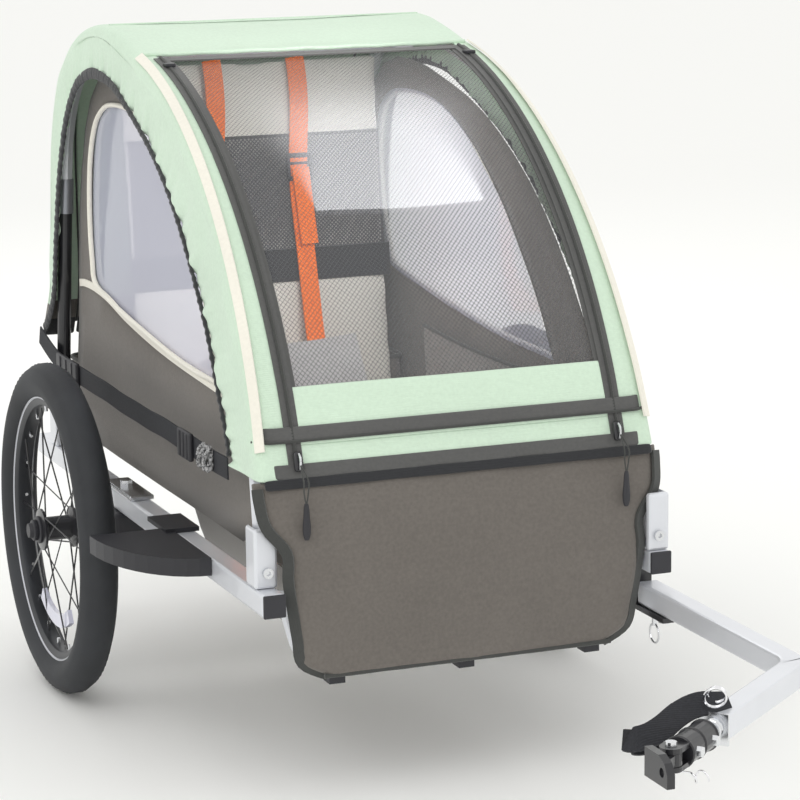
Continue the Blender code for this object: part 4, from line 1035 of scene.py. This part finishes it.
# ---------------------------------------------------------------- seat
def swell(obj, cap, voxel=0.006, pressure=4.0):
    """Pads the form out with a pressure cloth, and keeps the result. No point moves further than the cap."""
    remesh = obj.modifiers.new("Remesh", "REMESH")
    remesh.mode = "VOXEL"
    remesh.voxel_size = voxel
    apply_modifiers(obj)
    start = [v.co.copy() for v in obj.data.vertices]
    padding = obj.modifiers.new("Cloth", "CLOTH")
    settings = padding.settings
    settings.use_pressure = True
    settings.uniform_pressure_force = pressure
    settings.effector_weights.gravity = 0
    settings.quality = 5
    padding.point_cache.frame_start = 1
    padding.point_cache.frame_end = 20
    for number in range(1, 21):
        bpy.context.scene.frame_set(number)
    apply_modifiers(obj)
    bpy.context.scene.frame_set(1)
    for vertex, before in zip(obj.data.vertices, start):
        move = vertex.co - before
        if move.length > cap:
            vertex.co = before + move.normalized() * cap
    subdivide(obj)
    apply_modifiers(obj)
    obj.data.shade_smooth()


def pad(name, half, depth, height, place, material, crown=0.35, channels=(), seed=0.0):
    """A crowned pad: half (x), depth (y) and height (z) are half sizes. Place turns and moves it."""
    bm = bmesh.new()
    bmesh.ops.create_cube(bm, size=2)
    bmesh.ops.subdivide_edges(bm, edges=bm.edges[:], cuts=13, use_grid_fill=True)
    for v in bm.verts:
        x, y, z = v.co
        edge = max(abs(x), abs(y))
        full = (1 - max(0, edge - 0.55) ** 2 * crown * 3.2)
        groove = sum(exp(-((y - c) / 0.05) ** 2) for c in channels)
        z = z * full * (1 - 0.22 * groove)
        pinch = 1 - 0.02 * (1 - min(abs(x), abs(y))) * (edge > 0.98)
        wave = 0.03 * rough(x * 2.5, y * 2.5, seed)
        v.co = place @ Vector((half * x * pinch, depth * y * pinch, height * (z + wave)))
    return add_piece(name, bm, material)


def on_back(x, rise, out):
    """A point on the seat back's front face: rise is 0 at its foot and 1 at its top."""
    return at(x, 0.118 + 0.052 * rise - out - 0.0065, 0.302 + 0.44 * rise)


def seat():
    """The seat cushion and the seat back, with its net pocket, bound edge and black band."""
    base_place = Matrix.Translation(at(0, -0.015, 0.274))
    base = pad("seat_cushion", 0.182, 0.109, 0.019, base_place, SEAT, channels=(-0.35, 0.35))
    swell(base, 0.006)
    dress(base, node="seat_base")
    upright = Matrix.Rotation(-atan2(0.052, 0.44), 4, "X") @ Matrix.Rotation(radians(90), 4, "X")
    back_place = Matrix.Translation(at(0, 0.144, 0.522)) @ upright
    back = pad("seat_back_pad", 0.174, 0.218, 0.0055, back_place, SEAT, seed=3)
    swell(back, 0.004, 0.005)
    dress(back, FLAT, "seat_back")
    rows, columns, length = 12, 20, 0.32 * 0.443
    grid = []
    for r in range(rows + 1):
        rise, sag = 0.445 + 0.32 * r / rows, 0.004 * sin(pi * r / rows)
        grid.append([on_back(x, rise, 0.0035 + sag * cos(pi * x / 0.34)) for x in spread(0.166, columns)])
    pocket = shell(
        "seat_pocket_net", grid, POCKET_NET, 0, levels=0, uv=lambda r, c: (
            0.332 * c / columns, length * r / rows
        )
    )
    dress(pocket, FLAT)
    line = [on_back(x, 0.40, 0.0045 + 0.0015 * cos(pi * x / 0.34)) for x in spread(0.172, 24)]
    band = ribbon("seat_back_band", line, Vector((0, -1, 0.1)), 0.021, 0.001, BLACK_CLOTH)
    dress(band, FLAT)
    edge = [on_back(x, 0.768, 0.0015) for x in spread(0.166, 20)]
    dress(pipe("seat_pocket_binding", edge, 0.0026, TRIM), FLAT)


SHOULDER_LINE = [
    (0, 0.150, 0.738), (0, 0.1405, 0.68), (0, 0.1385, 0.602), (0, 0.125, 0.53), (0, 0.112, 0.455),
    (0, 0.083, 0.385), (0, 0.03, 0.328), (0, -0.01, 0.3065),
]


def harness():
    """Two shoulder straps with their free tails, two lap straps, the crotch pad and its clip."""
    straps = []
    for side, sign in SIDES.items():
        path = [
            at(sign * 0.055 + 0.002 * sin(k * 0.3), p.y, p.z) for k,
            p in enumerate(catmull(SHOULDER_LINE, 46))
        ]
        straps.append(ribbon(f"shoulder_strap_{side}", path, Vector((0, -1, 0.25)), 0.0123, 0.0009, ORANGE))
        tail = [at(sign * (0.055 + 0.004 * k / 9), 0.1335 - 0.0022 * k, 0.60 - 0.0105 * k) for k in range(10)]
        straps.append(ribbon(f"strap_tail_{side}", tail, Vector((0, -1, 0.2)), 0.0115, 0.0008, ORANGE))
        lap = [at(sign * (0.05 + 0.0105 * k), -0.01 + 0.004 * k, 0.3085 - 0.0002 * k * k) for k in range(13)]
        straps.append(ribbon(f"lap_strap_{side}", lap, Vector((0, 0, 1)), 0.0123, 0.0009, ORANGE))
    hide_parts("harness")
    for strap in straps:
        dress(strap, FLAT)
    adjusters()
    tilt = Matrix.Rotation(radians(52), 4, "X") @ Matrix.Rotation(radians(-9), 4, "Y")
    crotch_place = Matrix.Translation(at(0.044, 0.012, 0.35)) @ tilt
    crotch = dress(pad("crotch_pad", 0.046, 0.054, 0.011, crotch_place, PAD_GREY, seed=5))
    clip = block("harness_clip", at(0.026, -0.062, 0.3), at(0.066, -0.03, 0.31), PLASTIC, bevel=0.004)
    dress(clip)


def side_pockets():
    """A cloth pocket with a bound top inside each side panel."""
    rows, columns = 8, 16
    for side, sign in SIDES.items():
        grid = []
        for r in range(rows + 1):
            z, open_share = 0.275 + 0.125 * r / rows, 0.4 + 0.6 * r / rows
            row = []
            for c in range(columns + 1):
                x = side_x(z, -0.012) - 0.012 * sin(pi * c / columns) * open_share
                row.append(at(sign * x, -0.36 + 0.42 * c / columns, z))
            grid.append(row)
        pouch = dress(shell(f"side_pocket_{side}", grid, LINING, 0.0014), SOFT)
        dress(pipe(f"side_pocket_binding_{side}", grid[-1], 0.0024, TRIM), SOFT)


def adjusters():
    """The ladder buckle of each shoulder strap: two side bars and three cross bars."""
    down = Vector((0, 0.0045, 0.0335)).normalized()
    for side, sign in SIDES.items():
        centre = at(sign * 0.055, 0.1368, 0.6007)
        bars = []
        for n, (shift, thick) in enumerate(((0.0145, 0.0032), (-0.0145, 0.0032), (0.0045, 0.0017))):
            ends = [centre + down * shift + Vector((x, 0, 0)) for x in spread(0.0150, 6)]
            bars.append(pipe(f"adjuster_bar_{n}_{side}", ends, thick, PLASTIC, f"adjuster_{side}", sides=10))
        for n, x in enumerate((-0.0148, 0.0148)):
            ends = [centre + down * t + Vector((x, 0, 0)) for t in spread(0.0145, 4)]
            bars.append(
                pipe(f"adjuster_rail_{n}_{side}", ends, 0.0026, PLASTIC, f"adjuster_{side}", sides=10)
            )
        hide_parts(f"strap_adjuster_{side}")
        for bar in bars:
            dress(bar, FLAT)


def zip_sliders():
    """The two sliders at the foot of the cover's zips, each with a cord and a rubber pull."""
    lean = Matrix.Rotation(radians(-19), 3, "X")
    pull_y = -0.5334
    swells = (0.45, 0.62, 0.7, 0.72, 0.75, 0.82, 0.9, 0.97, 1.0, 0.99, 0.93, 0.78, 0.5)
    for side, sign in SIDES.items():
        body, x = f"zip_slider_{side}", sign * 0.186
        y, z = arc_at(19.2, ARC_RADIUS + 0.0048)
        size = Vector((0.0052, 0.0026, 0.0105))
        middle = at(x, y, z)
        slider = block(f"slider_body_{side}", middle - size, middle + size, BLACK_PAINT, body, 0.0022, lean)
        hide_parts(f"zip_slider_{side}")
        steps = ((-0.0015, 0.0085), (-0.0062, 0.005), (-0.0066, -0.004), (-0.0035, -0.0085))
        bridge = [middle + Vector((0, *step)) for step in steps]
        pieces = [slider, pipe(f"slider_bridge_{side}", catmull(bridge, 14), 0.0013, ZINC, body)]
        for n, out in enumerate((-0.0026, 0.0026)):
            line = [
                at(x, y - 0.0062, z - 0.002), at(x + out, -0.5335, 0.358),
                at(x + out * 0.9, -0.5338, 0.345), at(x, -0.5335, 0.331),
            ]
            pieces.append(pipe(f"slider_cord_{n}_{side}", catmull(line, 20), 0.0009, TRIM, body, sides=6))
        spine = [at(x, pull_y, 0.3335 - 0.0395 * k / 12) for k in range(13)]
        grip = pipe(f"slider_pull_{side}", spine, 0.0046, PLASTIC, body, sides=12, wobble=lambda k: swells[k])
        for v in grip.data.vertices:
            v.co.y = pull_y + AXLE_Y + (v.co.y - pull_y - AXLE_Y) * 0.55
        for piece in pieces + [grip]:
            dress(piece, FIRM)


# ---------------------------------------------------------------- wheels
def wheels():
    """Tyre, rim, reflector, spoke nipples and hub caps of each wheel."""
    section = 0.0225
    outer, inner, half = 0.1615, 0.147, 0.0112
    lip = half * 1.12
    rim_profile = [
        (inner + 0.002, -half * 0.75), (inner, 0), (inner + 0.002, half * 0.75), (inner + 0.007, half),
        (outer - 0.0045, half), (outer - 0.0035, lip), (outer, lip), (outer, -lip), (outer - 0.0035, -lip),
        (outer - 0.0045, -half), (inner + 0.007, -half),
    ]
    rim_slots = [0, 0, 0, 0, 1, 1, 1, 1, 1, 0, 0]
    for side, sign in SIDES.items():
        body = f"wheel_{side}"
        low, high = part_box(f"tyre_{side}")
        centre = (low + high) / 2
        middle = (high.z - low.z) / 2 - section
        profile = []
        for k in range(22):
            a = 2 * pi * k / 22
            tread = 1.0 if cos(a) < 0.25 or k % 2 else 0.955
            profile.append((middle + section * 0.995 * cos(a) * tread, section * 0.99 * sin(a) * tread))
        tyre = lathe(f"tyre_tread_{side}", profile, centre, TYRE, body, 180)
        for v in tyre.data.vertices:
            out = Vector((0, v.co.y - centre.y, v.co.z - centre.z))
            if out.length > middle + section * 0.62:
                turn = degrees(atan2(out.z, out.y))
                shoulder = int(abs(v.co.x - centre.x) / 0.0052)
                if (round(turn / 2) + shoulder) % 2:
                    v.co -= out.normalized() * 0.0013
        dress(tyre, node=f"tyre_{side}")
        rim = lathe(f"rim_shell_{side}", rim_profile, centre, [RIM_DARK, RIM_SILVER], body, 96, rim_slots)
        dress(rim, node=f"rim_{side}")
        points = []
        for k in range(25):
            a = radians(-122 + 64 * k / 24)
            points.append(centre + Vector((sign * 0.0035, 0.112 * cos(a), 0.112 * sin(a))))
        mirror = ribbon(
            f"spoke_reflector_{side}", points, Vector((sign, 0, 0)), 0.0085, 0.0028, REFLECT, body
        )
        dress(mirror)
        for n in range(20):
            a = 2 * pi * n / 20 + 0.08
            line = [centre + Vector((0, cos(a), sin(a))) * reach for reach in (0.1405, 0.1445, 0.1485)]
            dress(pipe(f"spoke_nipple_{n}_{side}", line, 0.0021, ZINC, body))
        outside = centre + Vector((sign * 0.0215, 0, 0))
        for n, (radius, x1, x2) in enumerate(((0.0165, -0.004, 0.004), (0.0125, 0.003, 0.010))):
            profile = [
                (0.0055, x1), (radius - 0.001, x1), (radius, x1 + 0.001), (radius, x2 - 0.0012),
                (radius - 0.0014, x2), (0.0055, x2),
            ]
            cap = lathe(
                f"hub_cap_{n}_{side}", [(r, sign * x) for r, x in profile], outside, PLASTIC, body, 36
            )
            dress(cap)


# ---------------------------------------------------------------- tow arm fittings
STRAP_ROUTE = [
    (-0.034, -0.002, 0.0165), (-0.02, 0.004, 0.0185), (-0.002, 0.012, 0.0225), (0.012, 0.020, 0.021),
    (0.028, 0.026, 0.017), (0.046, 0.031, 0.011), (0.062, 0.038, 0.006), (0.072, 0.047, 0.0035),
    (0.070, 0.056, 0.0), (0.058, 0.056, -0.006), (0.046, 0.048, -0.006), (0.034, 0.040, 0.002),
    (0.022, 0.034, 0.010), (0.010, 0.030, 0.0145),
]


def arm_fittings():
    """What sits at the end of the tow arm: washer, bolts, collars, strap, rings, hairpin clip."""
    tip = Vector((0.0588, -0.9820))
    turn = radians(50.6)
    along = Vector((-sin(turn), -cos(turn)))
    across = Vector((along.y, -along.x))

    def on_arm(s, side=0.0, up=0.0):
        """A point past the arm's tip: s along the arm, side across it, up above its middle."""
        p = tip + along * s + across * side
        return at(p.x, p.y, 0.1875 + up)

    bm = bmesh.new()
    square = [(-1, -1), (1, -1), (1, 1), (-1, 1)]
    skin(bm, [[bm.verts.new(on_arm(s, 0.0155 * a, 0.0155 * b)) for a, b in square] for s in (-0.002, 0.0012)])
    dress(add_piece("square_washer", bm, ZINC, "tow_arm"))
    for name, sign, radius in (("bolt", 1, 0.0052), ("nut", -1, 0.0055)):
        for n, s in enumerate((0.034, 0.071)):
            line = [on_arm(s, sign * side) for side in (0.0135, 0.0185, 0.0195)]
            dress(pipe(f"coupler_{name}_{n}", line, radius, ZINC, "coupler", sides=6))
    for n, s in enumerate((0.024, 0.052, 0.081)):
        collar = ring(f"coupler_collar_{n}", on_arm(s), along.to_3d(), 0.0148, 0.0014, BLACK_PAINT, "coupler")
        dress(collar)
    line = catmull([on_arm(*p) for p in STRAP_ROUTE], 60)
    strap = ribbon("safety_strap", line, Vector((-0.3, -0.8, 0.6)), 0.0125, 0.0010, BLACK_WEB, None)
    dress(strap)
    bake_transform(strap)
    for n, (spot, radius) in enumerate(
        (((-0.002, -0.0005, 0.030), 0.0105), ((-0.016, 0.004, 0.0285), 0.0085))
    ):
        loop = ring(
            f"strap_ring_{n}", on_arm(*spot), Vector((0.4, 1, 0.3)), radius, 0.0015, CHROME, "tow_arm"
        )
        dress(loop)
    steps = [(0, 0, -0.0122), (0.009, -0.002, -0.0135)]
    for k in range(40):
        t = k / 39
        steps.append((0.018 + 0.018 * t, -0.004 - 0.006 * sin(t * 9), -0.0205 + 0.005 * cos(t * 9)))
    line = [on_arm(0.1) + Vector(step) for step in steps]
    dress(pipe("hairpin_clip", line, 0.0010, CHROME, "hitch_pin"))


add_camera()
add_studio()
paint_frame()
canopy()
canopy_trim()
front_cover()
front_lower_band()
rear_flap()
side_panels()
side_straps()
zip_sliders()
front_panel()
boot()
seat()
harness()
side_pockets()
wheels()
arm_fittings()

for soft, keep in FOLDING:
    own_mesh(soft)
